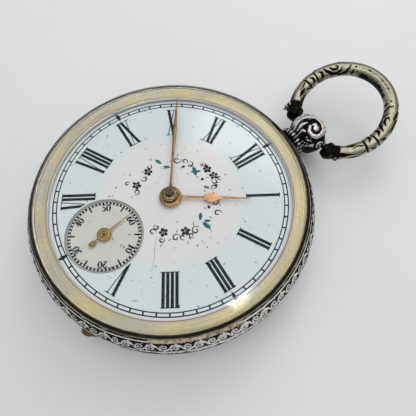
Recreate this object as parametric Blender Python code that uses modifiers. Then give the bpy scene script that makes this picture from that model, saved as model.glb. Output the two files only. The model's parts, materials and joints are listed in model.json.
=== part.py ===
"""Open face, key-wound silver pocket watch, built piece by piece.

Frame: metres, +Z up out of the dial, +Y towards the pendant and its bow, +X towards 3 o'clock.
The origin is the centre of the flat on the back cover, on which the watch lies.
All the sizes below are in millimetres, and MM turns them into metres when a mesh is made.
"""
import math

import bmesh
import bpy
from mathutils import Matrix, Vector

MM = 0.001

# ---- driving dimensions (mm) ----
TRACK_R = 19.0  # outer circle of the minute track: every other size follows from it
DIAL_Z = 9.0  # enamel surface above the rest plane
DIAL_T = 0.75
DIAL_R = 20.1
SECONDS_Y = -0.63 * TRACK_R
SECONDS_R = 0.325 * TRACK_R
DIAL_FEET = (55.0, 215.0, 290.0)  # degrees clockwise from 12
REHAUT_IN = 1.034 * TRACK_R
REHAUT_OUT = 1.15 * TRACK_R
BEZEL_R = 22.35
PARTING_Z = 10.0  # joint between the bezel and the middle of the case
BAND_TOP_R = 1.18 * TRACK_R
BAND_R = 23.45  # under the engraving, which stands 0.15 proud
BACK_Z = 3.3  # joint between the middle of the case and the back cover
PLATE_R = 19.8
DIAL_PLAY = 0.05  # between the dial and the sunk seconds dial

PENDANT_Z = 5.1
BOW_PIVOT_Y = 29.6
BOW_RING_R = 8.48
BOW_WIRE_R = 1.25
BOW_DROP = 6.8  # from the pivot to the centre of the ring
BOW_TILT = math.radians(17.0)
BOW_EYE_IN = 4.15
BOW_EYE_OUT = 5.95

BEZEL_HINGE = dict(azimuth=290.0, radius=22.3, z=9.1, knuckle=0.42, half=1.5)
BACK_HINGE = dict(azimuth=332.0, radius=23.55, z=3.35, knuckle=0.42, half=2.0)
CUVETTE_HINGE = dict(azimuth=332.0, radius=22.35, z=3.75, knuckle=0.34, half=3.0)
PIN_R = 0.2
PIN_BORE_R = 0.24
BEZEL_LIP = (92.5, 127.5)
THUMB_LIP = 152.0

# ---- movement: heights (mm above the rest plane) ----
BRIDGE_Z = (2.6, 3.6)
PLATE_Z = 6.2
PLATE_TOP = 7.3
SEAT_Z = DIAL_Z - DIAL_T
ESCAPE_COCK_Z = (4.42, 4.75)
FOOT_TOP = PLATE_Z - 0.03
SCREW_CIRCLE_R = 18.4
CASE_SCREW_CIRCLE_R = 19.15
SCREW_HOLE_R = 0.44
PIVOT_HOLE_R = 0.21
DIAL_FOOT_PLACE_R = 16.6
THROUGH = (1.0, 9.0)  # heights that a hole right through the movement runs between

# ---- movement: arbor places, teeth and modules ----
CENTRE = (0.0, 0.0)
FOURTH = (0.0, SECONDS_Y)
BARREL = (-3.0, 8.485)
BALANCE = (7.6, -9.2)
BARREL_TEETH, CENTRE_LEAVES, BARREL_MODULE = 48, 6, 9.0 / 27
CENTRE_TEETH, THIRD_LEAVES, CENTRE_MODULE = 48, 6, 7.2 / 27
THIRD_TEETH, FOURTH_LEAVES, THIRD_MODULE = 45, 6, 6.46 / 25.5
FOURTH_TEETH, ESCAPE_LEAVES, FOURTH_MODULE = 60, 6, 0.16
CANNON_LEAVES, MINUTE_TEETH, CANNON_MODULE = 8, 24, 0.25
MINUTE_LEAVES, HOUR_TEETH, HOUR_MODULE = 8, 32, 0.2
ESCAPE_TEETH = 15
CYLINDER_REACH = 3.2  # escape arbor to balance staff
RATCHET_TEETH, RATCHET_R = 30, 3.2

# ---- where the hands stand, in degrees clockwise from 12 ----
MINUTE_AT, HOUR_AT, SECONDS_AT = 303.5, 33.4, 349.5

SEGMENTS = 40

for leftover in list(bpy.data.objects):
    bpy.data.objects.remove(leftover, do_unlink=True)


def collection(name):
    made = bpy.data.collections.new(name)
    bpy.context.scene.collection.children.link(made)
    return made


WATCH = collection("open_face_pocket_watch")
CUTTERS = collection("cutters")


def material(name, colour, roughness, metallic=1.0, transmission=0.0):
    made = bpy.data.materials.new(name)
    made.use_nodes = True
    shader = made.node_tree.nodes["Principled BSDF"]
    shader.inputs["Base Color"].default_value = (*colour, 1.0)
    shader.inputs["Roughness"].default_value = roughness
    shader.inputs["Metallic"].default_value = metallic
    shader.inputs["Transmission Weight"].default_value = transmission
    made.diffuse_color = (*colour, 1.0)
    return made


SILVER = material("silver", (0.78, 0.77, 0.74), 0.25)
DARK_SILVER = material("oxidised_silver", (0.32, 0.31, 0.29), 0.35)
CHAMPAGNE = material("champagne", (0.76, 0.71, 0.56), 0.35)
GLASS = material("glass", (1.0, 1.0, 1.0), 0.02, 0.0, 1.0)
ENAMEL = material("enamel", (0.88, 0.91, 0.91), 0.12, 0.0)
GOLD = material("gold", (0.70, 0.47, 0.24), 0.28)
GILT = material("gilt_brass", (0.80, 0.64, 0.34), 0.30)
STEEL = material("steel", (0.60, 0.61, 0.63), 0.22)
BLUED = material("blued_steel", (0.08, 0.12, 0.35), 0.22)


# ---- geometry helpers ----
def polar(radius, degrees):
    """A point at a radius and an angle anticlockwise from +X."""
    return (radius * math.cos(math.radians(degrees)), radius * math.sin(math.radians(degrees)))


def clock(radius, azimuth):
    """A point at a radius and an angle clockwise from 12 o'clock."""
    return polar(radius, 90.0 - azimuth)


def arc(centre, radius, start, stop, count):
    """Points along an arc, both ends included."""
    step = (stop - start) / (count - 1)
    offsets = [polar(radius, start + step * i) for i in range(count)]
    return [(centre[0] + x, centre[1] + y) for x, y in offsets]


def circle(radius, count=16, centre=(0.0, 0.0)):
    return arc(centre, radius, 0.0, 360.0 - 360.0 / count, count)


def link_outline(first, first_r, second, second_r, count=9):
    """The outline of two discs and the straight sides that touch both."""
    dx, dy = second[0] - first[0], second[1] - first[1]
    heading = math.degrees(math.atan2(dy, dx))
    lean = math.degrees(math.acos((first_r - second_r) / math.hypot(dx, dy)))
    near = arc(first, first_r, heading + lean, heading + 360.0 - lean, count)
    far = arc(second, second_r, heading - lean, heading + lean, count)
    return near + far


def hand_outline(stations):
    """A hand along +Y from its stations of (distance, half width)."""
    right = [(half, along) for along, half in stations]
    left = [(-half, along) for along, half in reversed(stations)]
    return right + left


def wheel_outline(teeth, module, phase=0.0):
    """Pointed teeth that reach well past the pitch circle."""
    pitch_r, pitch = teeth * module / 2.0, 360.0 / teeth
    points = []
    for i in range(teeth):
        middle = phase + pitch * i
        points.append(polar(pitch_r - 0.9 * module, middle - 0.3 * pitch))
        points.append(polar(pitch_r + 0.95 * module, middle))
        points.append(polar(pitch_r - 0.9 * module, middle + 0.3 * pitch))
    return points


def leaf_outline(leaves, module, phase=0.0):
    """A pinion's blunt leaves, cut deep below the pitch circle."""
    pitch_r, pitch = leaves * module / 2.0, 360.0 / leaves
    tip_r, root_r = pitch_r + 0.3 * module, pitch_r - 1.35 * module
    points = []
    for i in range(leaves):
        middle = phase + pitch * i
        points.append(polar(root_r, middle - 0.2 * pitch))
        points.append(polar(tip_r, middle - 0.12 * pitch))
        points.append(polar(tip_r, middle + 0.12 * pitch))
        points.append(polar(root_r, middle + 0.2 * pitch))
    return points


def meshing_phase(driver, driver_teeth, driver_phase, driven, driven_teeth):
    """The phase that puts a gap of the driven gear where the driver has a tooth."""
    line = math.degrees(math.atan2(driven[1] - driver[1], driven[0] - driver[0]))
    offset = ((line - driver_phase) / (360.0 / driver_teeth)) % 1.0
    return line + 180.0 + (offset + 0.5) * 360.0 / driven_teeth


def windows(count, inner_r, outer_r, spoke):
    """Openings between the spokes of a wheel, with a constant spoke width."""
    openings = []
    for i in range(count):
        start, stop = 360.0 * i / count, 360.0 * (i + 1) / count
        inner = math.degrees(math.asin(spoke / 2.0 / inner_r))
        outer = math.degrees(math.asin(spoke / 2.0 / outer_r))
        edge = arc((0, 0), outer_r, start + outer, stop - outer, 5)
        edge += arc((0, 0), inner_r, stop - inner, start + inner, 2)
        openings.append(edge)
    return openings


def spiral(inner_r, outer_r, coils, per_turn, half):
    """The outline of a flat coiled spring, half its thickness to each side of the spiral."""
    outer, inner = [], []
    for i in range(coils * per_turn + 1):
        turn = i / per_turn
        radius = inner_r + (outer_r - inner_r) * turn / coils
        outer.append(polar(radius + half, 360.0 * turn))
        inner.append(polar(radius - half, 360.0 * turn))
    return outer + inner[::-1]


def scalloped(tip_r, root_r, lobes, blunt):
    """A round outline with blunt lobes and a valley between each two."""
    points = []
    for i in range(lobes):
        points.append(polar(tip_r, 360.0 * (i - blunt) / lobes))
        points.append(polar(tip_r, 360.0 * (i + blunt) / lobes))
        points.append(polar(root_r, 360.0 * (i + 0.5) / lobes))
    return points


# ---- object helpers ----
def finish(obj, look, sharp=35.0):
    """Gives an object its material and shades its round faces smooth."""
    obj.data.materials.clear()
    obj.data.materials.append(look)
    obj.data.shade_smooth()
    obj.data.set_sharp_from_angle(angle=math.radians(sharp))
    return obj


def add_object(name, mesh, where=(0.0, 0.0, 0.0)):
    obj = bpy.data.objects.new(name, mesh)
    obj.location = Vector(where) * MM
    WATCH.objects.link(obj)
    return obj


def turned(name, profile, look, where=(0.0, 0.0), steps=SEGMENTS, closed=True):
    """A turned piece: the profile of (radius, z) runs down its outer side from the top."""
    mesh = bpy.data.meshes.new(name)
    count = len(profile)
    edges = [(i, i + 1) for i in range(count - 1)]
    if closed:
        edges.append((count - 1, 0))
    mesh.from_pydata([(r * MM, 0.0, z * MM) for r, z in profile], edges, [])
    obj = add_object(name, mesh, (*where, 0.0))
    screw = obj.modifiers.new("turn", "SCREW")
    screw.steps = steps
    screw.render_steps = steps
    screw.use_merge_vertices = True
    screw.merge_threshold = 1e-7
    return bake(obj, look)


def bake(obj, look):
    """Replaces an object's mesh by its evaluated one, with its faces pointing out."""
    graph = bpy.context.evaluated_depsgraph_get()
    mesh = bpy.data.meshes.new_from_object(obj.evaluated_get(graph))
    obj.modifiers.clear()
    tidy = bmesh.new()
    tidy.from_mesh(mesh)
    bmesh.ops.remove_doubles(tidy, verts=tidy.verts, dist=1e-7)
    bmesh.ops.recalc_face_normals(tidy, faces=tidy.faces)
    tidy.to_mesh(mesh)
    tidy.free()
    if obj.type == "CURVE":
        solid = bpy.data.objects.new(obj.name + "_solid", mesh)
        solid.matrix_world = obj.matrix_world
        WATCH.objects.link(solid)
        name = obj.name
        bpy.data.objects.remove(obj)
        solid.name = name
        return finish(solid, look)
    obj.data = mesh
    return finish(obj, look)


def disc(radius, low, high):
    """The profile of a plain disc."""
    return [(0.0, high), (radius, high), (radius, low), (0.0, low)]


def ring(inner, outer, low, high):
    """The profile of a plain ring."""
    return [(outer, high), (outer, low), (inner, low), (inner, high)]


def flat(name, outlines, low, high, look, where=(0.0, 0.0)):
    """A flat piece cut to an outline, the outlines after the first being its holes."""
    curve = bpy.data.curves.new(name, "CURVE")
    curve.dimensions = "2D"
    curve.fill_mode = "BOTH"
    curve.extrude = (high - low) / 2.0 * MM
    for outline in outlines:
        spline = curve.splines.new("POLY")
        spline.points.add(len(outline) - 1)
        for point, (x, y) in zip(spline.points, outline):
            point.co = (x * MM, y * MM, 0.0, 1.0)
        spline.use_cyclic_u = True
    obj = add_object(name, curve, (*where, (low + high) / 2.0))
    bpy.context.view_layer.update()
    return bake(obj, look)


def wire(name, points, radius, look, where=(0.0, 0.0, 0.0), cyclic=False, resolution=2):
    """A round wire along a line of points."""
    curve = bpy.data.curves.new(name, "CURVE")
    curve.dimensions = "3D"
    curve.bevel_depth = radius * MM
    curve.bevel_resolution = resolution
    curve.use_fill_caps = True
    spline = curve.splines.new("POLY")
    spline.points.add(len(points) - 1)
    for point, (x, y, z) in zip(spline.points, points):
        point.co = (x * MM, y * MM, z * MM, 1.0)
    spline.use_cyclic_u = cyclic
    obj = add_object(name, curve, where)
    bpy.context.view_layer.update()
    return bake(obj, look)


def block(name, low, high):
    """A box between two corners."""
    bpy.ops.mesh.primitive_cube_add(size=1.0)
    obj = bpy.context.object
    obj.name = name
    size = [(b - a) * MM for a, b in zip(low, high)]
    middle = [(a + b) / 2.0 * MM for a, b in zip(low, high)]
    obj.data.transform(Matrix.Translation(middle) @ Matrix.Diagonal((*size, 1.0)))
    return obj


def rod(name, radius, start, stop, sides=16):
    """A cylinder between two points."""
    start, stop = Vector(start) * MM, Vector(stop) * MM
    mesh = bpy.data.meshes.new(name)
    work = bmesh.new()
    turn = (stop - start).to_track_quat("Z", "X").to_matrix().to_4x4()
    bmesh.ops.create_cone(
        work, cap_ends=True, segments=sides, radius1=radius * MM, radius2=radius * MM,
        depth=(stop - start).length, matrix=Matrix.Translation((start + stop) / 2.0) @ turn)
    work.to_mesh(mesh)
    work.free()
    return add_object(name, mesh)


def as_tool(obj):
    """Moves an object to the cutters, so that only the piece it shapes stays."""
    for owner in list(obj.users_collection):
        owner.objects.unlink(obj)
    CUTTERS.objects.link(obj)
    obj.hide_render = True
    obj.display_type = "WIRE"
    return obj


def shape(target, tool, operation):
    """Cuts a tool from a piece, or joins it to the piece."""
    as_tool(tool)
    modifier = target.modifiers.new(operation.lower(), "BOOLEAN")
    modifier.operation = operation
    modifier.object = tool
    modifier.solver = "EXACT"
    return target


def cut(target, tool):
    return shape(target, tool, "DIFFERENCE")


def join(target, tool):
    return shape(target, tool, "UNION")


def bore(target, where, radius, low, high, sides=16):
    """An upright hole through a piece."""
    x, y = where
    cut(target, rod(target.name + "_bore", radius, (x, y, low), (x, y, high), sides))


def hinge_frame(hinge):
    """Outward direction, tangent and a function from hinge coordinates to the watch's frame."""
    out = Vector((*clock(1.0, hinge["azimuth"]), 0.0))
    along = Vector((*clock(1.0, hinge["azimuth"] + 90.0), 0.0))

    def place(outward, side, z):
        return out * outward + along * side + Vector((0.0, 0.0, z))

    return place


def knuckle(name, hinge, start, stop, radius, sides=16):
    place = hinge_frame(hinge)
    first = place(hinge["radius"], start, hinge["z"])
    return rod(name, radius, first, place(hinge["radius"], stop, hinge["z"]), sides)


def hinge_block(name, hinge, low, high):
    """A box in hinge coordinates: outward, along the hinge, up."""
    obj = block(name, low, high)
    turn = math.radians(90.0 - hinge["azimuth"])
    obj.data.transform(Matrix.Rotation(turn, 4, "Z"))
    return obj


def hinge_pin(name, hinge, half):
    return finish(knuckle(name, hinge, -half, half, PIN_R, 12), STEEL)


def cross_piece(obj, y=0.0):
    """Lays a piece made about Z on the pendant's axis, its own origin at the given Y."""
    obj.rotation_euler = (-math.pi / 2.0, 0.0, 0.0)
    obj.location = Vector((0.0, y, PENDANT_Z)) * MM
    return obj


# ---- case ----
def case_band():
    # the shoulder falls from the bezel to the waist, and the wall runs down to the back
    outer = [(BAND_TOP_R, 9.98), (22.62, 9.55), (22.95, 8.95), (23.23, 8.2), (23.4, 7.6),
             (BAND_R, 7.3), (23.3, 7.05), (23.25, 5.3), (23.27, 3.75), (23.4, 3.55)]
    inner = [(23.4, BACK_Z), (22.1, BACK_Z), (22.1, 4.2), (21.3, 4.2), (21.3, PLATE_Z),
             (20.1, PLATE_Z), (20.1, 7.25), (21.0, 7.25), (21.0, 9.98)]
    band = turned("case_band", outer + inner, SILVER)
    # pockets for the moving knuckles
    cut(band, hinge_block("bezel_pocket", BEZEL_HINGE, (21.75, -1.6, 8.6), (24.5, 1.6, 10.5)))
    cut(band, hinge_block("cuvette_pocket", CUVETTE_HINGE, (21.0, -3.1, 2.8), (22.85, 3.1, 4.3)))
    cut(band, knuckle("back_pocket", BACK_HINGE, -2.1, 2.1, 0.52))
    # fixed knuckles of the back hinge
    for side in (-1, 1):
        join(band, knuckle("back_knuckle", BACK_HINGE, 2.12 * side, 4.2 * side, 0.42))
    for hinge, half in ((BEZEL_HINGE, 3.0), (CUVETTE_HINGE, 4.9), (BACK_HINGE, 4.5)):
        cut(band, knuckle("pin_hole", hinge, -half, half, PIN_BORE_R))
    cut(band, rod("pendant_hole", 1.6, (0, 22.25, PENDANT_Z), (0, 25.0, PENDANT_Z), 24))
    return band


def bezel():
    profile = [(21.95, 10.58), (22.15, 10.5), (22.3, 10.3), (BEZEL_R, 10.03), (21.9, 10.03),
               (21.9, 10.55)]
    frame = turned("bezel", profile, SILVER)
    start, stop = (90.0 - edge for edge in BEZEL_LIP)
    lip = arc((0, 0), 22.78, start, stop, 15) + arc((0, 0), 22.1, stop, start, 15)
    join(frame, flat("bezel_lip", [lip], 10.07, 10.27, SILVER))
    join(frame, knuckle("bezel_knuckle", BEZEL_HINGE, -1.5, 1.5, BEZEL_HINGE["knuckle"]))
    join(frame, hinge_block("bezel_web", BEZEL_HINGE, (22.02, -1.5, 9.1), (22.4, 1.5, 10.2)))
    cut(frame, knuckle("bezel_pin_hole", BEZEL_HINGE, -2.5, 2.5, PIN_BORE_R))
    hinge_pin("bezel_hinge_pin", BEZEL_HINGE, 2.9)
    turned("rehaut", [(REHAUT_OUT, 10.36), (REHAUT_OUT, 10.06), (20.9, 10.02), (20.65, 9.5),
                      (REHAUT_IN, 9.35), (REHAUT_IN, 9.9)], CHAMPAGNE)


def crystal():
    top = [(0.0, 12.4), (11.0, 12.25), (17.5, 11.9), (20.6, 11.45), (21.6, 11.0), (21.85, 10.42)]
    under = [(21.3, 10.42), (20.4, 10.95), (17.0, 11.35), (0.0, 11.8)]
    turned("crystal", top + under, GLASS, closed=False)


def back_cover():
    outside = [(23.5, 3.24), (23.4, 2.7), (22.7, 1.95), (21.0, 1.22), (17.5, 0.55), (13.0, 0.12),
               (9.0, 0.0), (0.0, 0.0)]
    inside = [(0.0, 0.6), (10.0, 0.62), (17.5, 1.1), (21.2, 1.8), (22.5, 2.7), (22.7, 3.24)]
    cover = turned("back_cover", inside + outside, SILVER, closed=False)
    for side in (-1, 1):
        cut(cover, knuckle("back_relief", BACK_HINGE, 2.0 * side, 4.4 * side, 0.52))
    join(cover, knuckle("back_cover_knuckle", BACK_HINGE, -2.0, 2.0, BACK_HINGE["knuckle"]))
    join(cover, hinge_block("back_web", BACK_HINGE, (22.95, -2.0, 2.7), (23.55, 2.0, 3.2)))
    cut(cover, knuckle("back_pin_hole", BACK_HINGE, -4.4, 4.4, PIN_BORE_R))
    hinge_pin("back_hinge_pin", BACK_HINGE, 4.1)
    join(cover, hinge_block("thumb_lip", dict(azimuth=THUMB_LIP), (23.05, -2.0, 2.75),
                            (24.45, 2.0, 3.13)))
    return cover


def cuvette():
    upper = [(0.0, 1.65), (16.0, 1.7), (19.9, 2.15), (21.2, 3.9), (21.9, 3.9)]
    lower = [(21.9, 3.5), (21.5, 3.45), (20.2, 1.83), (16.0, 1.33), (0.0, 1.26)]
    cover = turned("cuvette", upper + lower, GILT, closed=False)
    for where in (CENTRE, BARREL):
        bore(cover, where, 1.7, 0.5, 2.5, 20)
    join(cover, hinge_block("cuvette_web", CUVETTE_HINGE, (21.4, -3.0, 3.55), (22.35, 3.0, 3.85)))
    join(cover, knuckle("cuvette_knuckle", CUVETTE_HINGE, -3.0, 3.0, CUVETTE_HINGE["knuckle"]))
    cut(cover, knuckle("cuvette_pin_hole", CUVETTE_HINGE, -4.0, 4.0, PIN_BORE_R))
    hinge_pin("cuvette_hinge_pin", CUVETTE_HINGE, 4.7)


def pendant():
    profile = [(0.0, 31.2), (1.5, 31.2), (2.8, 30.7), (3.6, 29.9), (3.85, 29.0), (3.7, 27.9),
               (2.9, 26.8), (2.1, 26.2), (2.0, 25.85), (1.5, 25.85), (1.5, 22.35), (0.0, 22.35)]
    knob = cross_piece(turned("pendant", profile, DARK_SILVER, steps=28, closed=False))
    for side in (-1, 1):
        start, stop = (3.0 * side, BOW_PIVOT_Y, PENDANT_Z), (6.0 * side, BOW_PIVOT_Y, PENDANT_Z)
        cut(knob, rod("screw_hole", 0.68, start, stop, 16))
    collar = [scalloped(2.95, 2.65, 22, 0.2), circle(1.56, 20)]
    cross_piece(flat("pendant_collar", collar, -0.825, 0.825, SILVER), 24.925)
    cap = scalloped(1.95, 1.6, 10, 0.22)
    cross_piece(flat("pendant_cap", [cap], -0.37, 0.37, CHAMPAGNE), 31.63)


def bow():
    swing = Matrix.Rotation(BOW_TILT, 4, "X")
    end = math.degrees(math.asin(BOW_DROP / BOW_RING_R))
    points = []
    for x, y in arc((0.0, BOW_DROP), BOW_RING_R, -end, 180.0 + end, 30):
        points.append(tuple(swing @ Vector((x, y, 0.0))))
    pivot = (0.0, BOW_PIVOT_Y, PENDANT_Z)
    loop = wire("bow", points, BOW_WIRE_R, SILVER, pivot)
    for side in (-1, 1):
        inner, outer = BOW_EYE_IN * side, BOW_EYE_OUT * side
        eye = rod("bow_eye", 1.6, (inner, *pivot[1:]), (outer, *pivot[1:]), 20)
        join(loop, eye)
        trim = sorted((0.0, inner))
        cut(loop, block("bow_trim", (trim[0], 26.0, 0.0), (trim[1], 31.6, 9.0)))
        trim = sorted((outer, 8.0 * side))
        cut(loop, block("bow_trim", (trim[0], 26.0, 2.0), (trim[1], 30.95, 7.5)))
        start, stop = (3.5 * side, *pivot[1:]), (7.5 * side, *pivot[1:])
        cut(loop, rod("bow_hole", 0.68, start, stop, 16))
        name = "bow_screw_right" if side > 0 else "bow_screw_left"
        screw = rod(name, 0.6, (3.2 * side, *pivot[1:]), (6.3 * side, *pivot[1:]), 16)
        head = rod("screw_head", 1.05, (6.02 * side, *pivot[1:]), (6.6 * side, *pivot[1:]), 16)
        finish(join(screw, head), SILVER)


# ---- dial and hands ----
def dial():
    face = flat("dial", [circle(DIAL_R, SEGMENTS), circle(1.6, 20),
                         circle(SECONDS_R + DIAL_PLAY, 40, FOURTH)], SEAT_Z, DIAL_Z, ENAMEL)
    for azimuth in DIAL_FEET:
        x, y = clock(DIAL_FOOT_PLACE_R, azimuth)
        foot = rod("dial_foot", 0.4, (x, y, 6.5), (x, y, SEAT_Z + 0.2), 8)
        join(face, foot)
    disc_face = turned("seconds_dial", disc(SECONDS_R, SEAT_Z + 0.03, DIAL_Z - 0.25), ENAMEL,
                       FOURTH, 40, closed=False)
    bore(disc_face, FOURTH, 0.45, 7.0, 10.0, 12)


def hand(name, outline, hub_r, hole_r, low, high, azimuth, where=CENTRE, hub_high=None):
    """A hand about its arbor: a flat blade joined to a taller round hub."""
    blade = flat(name, [outline], low, high, GOLD, where)
    hub = turned(name + "_hub", ring(hole_r, hub_r, low - 0.06, hub_high), GOLD, where, 18)
    join(blade, hub)
    bore(blade, where, hole_r, low - 1.0, hub_high + 1.0, 16)
    blade.data.transform(Matrix.Rotation(math.radians(-azimuth), 4, "Z"))
    return blade


def hands():
    minute = [(-0.3, 0.4), (1.2, 0.32), (6.0, 0.24), (10.0, 0.36), (12.4, 0.42), (15.0, 0.28),
              (17.5, 0.15), (19.35, 0.05)]
    hand("minute_hand", hand_outline(minute), 1.33, 0.46, 10.2, 10.42, MINUTE_AT, hub_high=10.75)
    hour = [(-0.3, 0.5), (1.8, 0.36), (5.3, 0.26), (5.75, 0.5), (6.3, 0.86), (6.9, 0.85),
            (7.6, 0.5), (8.5, 0.3), (10.0, 0.22), (13.0, 0.05)]
    hand("hour_hand", hand_outline(hour), 2.0, 1.23, 9.55, 9.77, HOUR_AT, hub_high=10.0)
    seconds = [(-2.9, 0.12), (-2.5, 0.38), (-2.0, 0.42), (-1.4, 0.16), (-0.5, 0.2), (0.5, 0.2),
               (1.5, 0.14), (5.7, 0.04)]
    hand("seconds_hand", hand_outline(seconds), 1.1, 0.26, 9.14, 9.26, SECONDS_AT, FOURTH, 9.4)


# ---- movement: plates and bridges ----
def escape_place():
    """Where the escape arbor meets both the fourth wheel and the balance's cylinder."""
    reach = (FOURTH_TEETH + ESCAPE_LEAVES) * FOURTH_MODULE / 2.0
    dx, dy = BALANCE[0] - FOURTH[0], BALANCE[1] - FOURTH[1]
    span = math.hypot(dx, dy)
    along = (reach ** 2 - CYLINDER_REACH ** 2 + span ** 2) / (2.0 * span)
    off = math.sqrt(reach ** 2 - along ** 2)
    ux, uy = dx / span, dy / span
    return (FOURTH[0] + along * ux + off * uy, FOURTH[1] + along * uy - off * ux)


def third_place():
    """Where the third arbor meets both the centre wheel and the fourth pinion."""
    near = (CENTRE_TEETH + THIRD_LEAVES) * CENTRE_MODULE / 2.0
    far = (THIRD_TEETH + FOURTH_LEAVES) * THIRD_MODULE / 2.0
    span = -SECONDS_Y
    y = -(near ** 2 - far ** 2 + span ** 2) / (2.0 * span)
    return (-math.sqrt(near ** 2 - y ** 2), y)


ESCAPE = escape_place()
THIRD = third_place()
MINUTE = polar((CANNON_LEAVES + MINUTE_TEETH) * CANNON_MODULE / 2.0, 35.0)
CLICK = (1.9, 11.6)
BRIDGE_SCREWS = {
    "barrel_bridge_screw_a": polar(SCREW_CIRCLE_R, 68.0),
    "barrel_bridge_screw_b": polar(SCREW_CIRCLE_R, 154.0),
    "train_bridge_screw_a": polar(SCREW_CIRCLE_R, 190.0),
    "train_bridge_screw_b": polar(SCREW_CIRCLE_R, 258.0),
    "balance_cock_screw": (16.5, -4.4),
}
ESCAPE_SCREW = (9.0, -16.3)
CASE_SCREWS = {
    "case_screw_a": polar(CASE_SCREW_CIRCLE_R, 15.0),
    "case_screw_b": polar(CASE_SCREW_CIRCLE_R, 174.5),
}


def main_plate():
    profile = [(0.0, PLATE_TOP), (18.3, PLATE_TOP), (18.3, 8.2), (20.8, 8.2), (20.8, 7.3),
               (PLATE_R, 7.3), (PLATE_R, PLATE_Z), (0.0, PLATE_Z)]
    plate = turned("main_plate", profile, GILT, closed=False)
    join(plate, rod("minute_post", 0.4, (*MINUTE, 7.0), (*MINUTE, 8.12), 12))
    bore(plate, CENTRE, 0.92, *THROUGH, 20)
    for where in (THIRD, ESCAPE, BALANCE):
        bore(plate, where, PIVOT_HOLE_R, *THROUGH, 8)
    bore(plate, FOURTH, 0.34, *THROUGH, 10)
    bore(plate, BARREL, 0.7, *THROUGH, 16)
    for azimuth in DIAL_FEET:
        bore(plate, clock(DIAL_FOOT_PLACE_R, azimuth), 0.48, *THROUGH, 8)
    for where in (*BRIDGE_SCREWS.values(), ESCAPE_SCREW, *CASE_SCREWS.values()):
        bore(plate, where, SCREW_HOLE_R, *THROUGH, 8)


def footed(name, outline, foot, low, high):
    """A bridge: a flat deck with a foot that stands on the main plate."""
    deck = flat(name, [outline], low, high, GILT)
    return join(deck, flat(name + "_foot", [foot], high - 0.2, FOOT_TOP, GILT))


def rim_sector(start, stop, inner=17.7, outer=19.35, count=9):
    return arc((0, 0), outer, start, stop, count) + arc((0, 0), inner, stop, start, count)


def bridges():
    low, high = BRIDGE_Z
    deck = arc((0, 0), 19.4, 25.0, 168.0, 17)
    barrel_deck = footed("barrel_bridge", deck, rim_sector(62.0, 160.0), low, high)
    bore(barrel_deck, BARREL, 1.06, *THROUGH, 16)
    bore(barrel_deck, CLICK, SCREW_HOLE_R, *THROUGH, 8)

    left = arc((0, 0), 19.4, 181.0, 266.0, 12)
    right = [(2.2, -16.0), (2.3, -6.0), (3.3, -2.5), (3.3, 2.2), (1.6, 4.4)]
    train_deck = footed("train_bridge", left + right, rim_sector(184.5, 264.0), low, high)
    bore(train_deck, CENTRE, 0.88, *THROUGH, 16)
    for where in (THIRD, FOURTH):
        bore(train_deck, where, PIVOT_HOLE_R, *THROUGH, 12)

    seat = BRIDGE_SCREWS["balance_cock_screw"]
    cock = footed("balance_cock", link_outline(BALANCE, 2.5, seat, 2.5), circle(2.3, 20, seat),
                  low, high - 0.2)
    bore(cock, BALANCE, PIVOT_HOLE_R, *THROUGH, 12)

    low_cock = footed("escape_cock", link_outline(ESCAPE, 0.8, ESCAPE_SCREW, 1.3),
                      circle(1.2, 16, ESCAPE_SCREW), *ESCAPE_COCK_Z)
    bore(low_cock, ESCAPE, PIVOT_HOLE_R, *THROUGH, 12)
    bore(low_cock, ESCAPE_SCREW, SCREW_HOLE_R, *THROUGH, 8)

    for piece in (barrel_deck, train_deck, cock):
        for name, where in BRIDGE_SCREWS.items():
            if name.startswith(piece.name):
                bore(piece, where, SCREW_HOLE_R, *THROUGH, 8)


def screw(name, where, seat, length, head_r, head_t, slotted=True):
    """A screw whose head lies below its seat and whose shank runs up from it."""
    top, under = seat + length, seat - 0.04
    profile = [(0.0, top), (0.36, top), (0.36, under), (head_r, under), (head_r, seat - head_t),
               (0.0, seat - head_t)]
    made = turned(name, profile, STEEL, where, 10, closed=False)
    if slotted:
        x, y = where
        low = (x - 2.0, y - 0.11, seat - head_t - 1.0)
        cut(made, block(name + "_slot", low, (x + 2.0, y + 0.11, seat - head_t + 0.14)))


def screws():
    thread_top = PLATE_TOP - 0.2
    seat = BRIDGE_Z[0]
    for name, where in BRIDGE_SCREWS.items():
        screw(name, where, seat, thread_top - seat, 0.85, 0.34)
    seat = ESCAPE_COCK_Z[0]
    screw("escape_cock_screw", ESCAPE_SCREW, seat, thread_top - seat, 0.75, 0.3)
    for name, where in CASE_SCREWS.items():
        screw(name, where, PLATE_Z, 0.9, 1.3, 0.34)


# ---- movement: train ----
def wheel(name, teeth, module, phase, low, high, where, bore_r, spokes=4, rim=0.75):
    """A brass wheel with spokes, on a hub with a bore."""
    root = teeth * module / 2.0 - 0.9 * module
    outlines = [wheel_outline(teeth, module, phase), circle(bore_r, 12)]
    outlines += windows(spokes, bore_r + 0.9, root - rim, 0.6)
    return flat(name, outlines, low, high, GILT, where)


def pinion(name, leaves, module, phase, leaf_z, shaft, where, hollow=None):
    """A steel pinion: its leaves joined to a turned arbor of (radius, z) steps."""
    arbor = turned(name, shaft, STEEL, where, 12, closed=bool(hollow))
    outlines = [leaf_outline(leaves, module, phase)]
    if hollow:
        outlines.append(circle(hollow, 12))
    return join(arbor, flat(name + "_leaves", outlines, leaf_z[0], leaf_z[1], STEEL, where))


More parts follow.
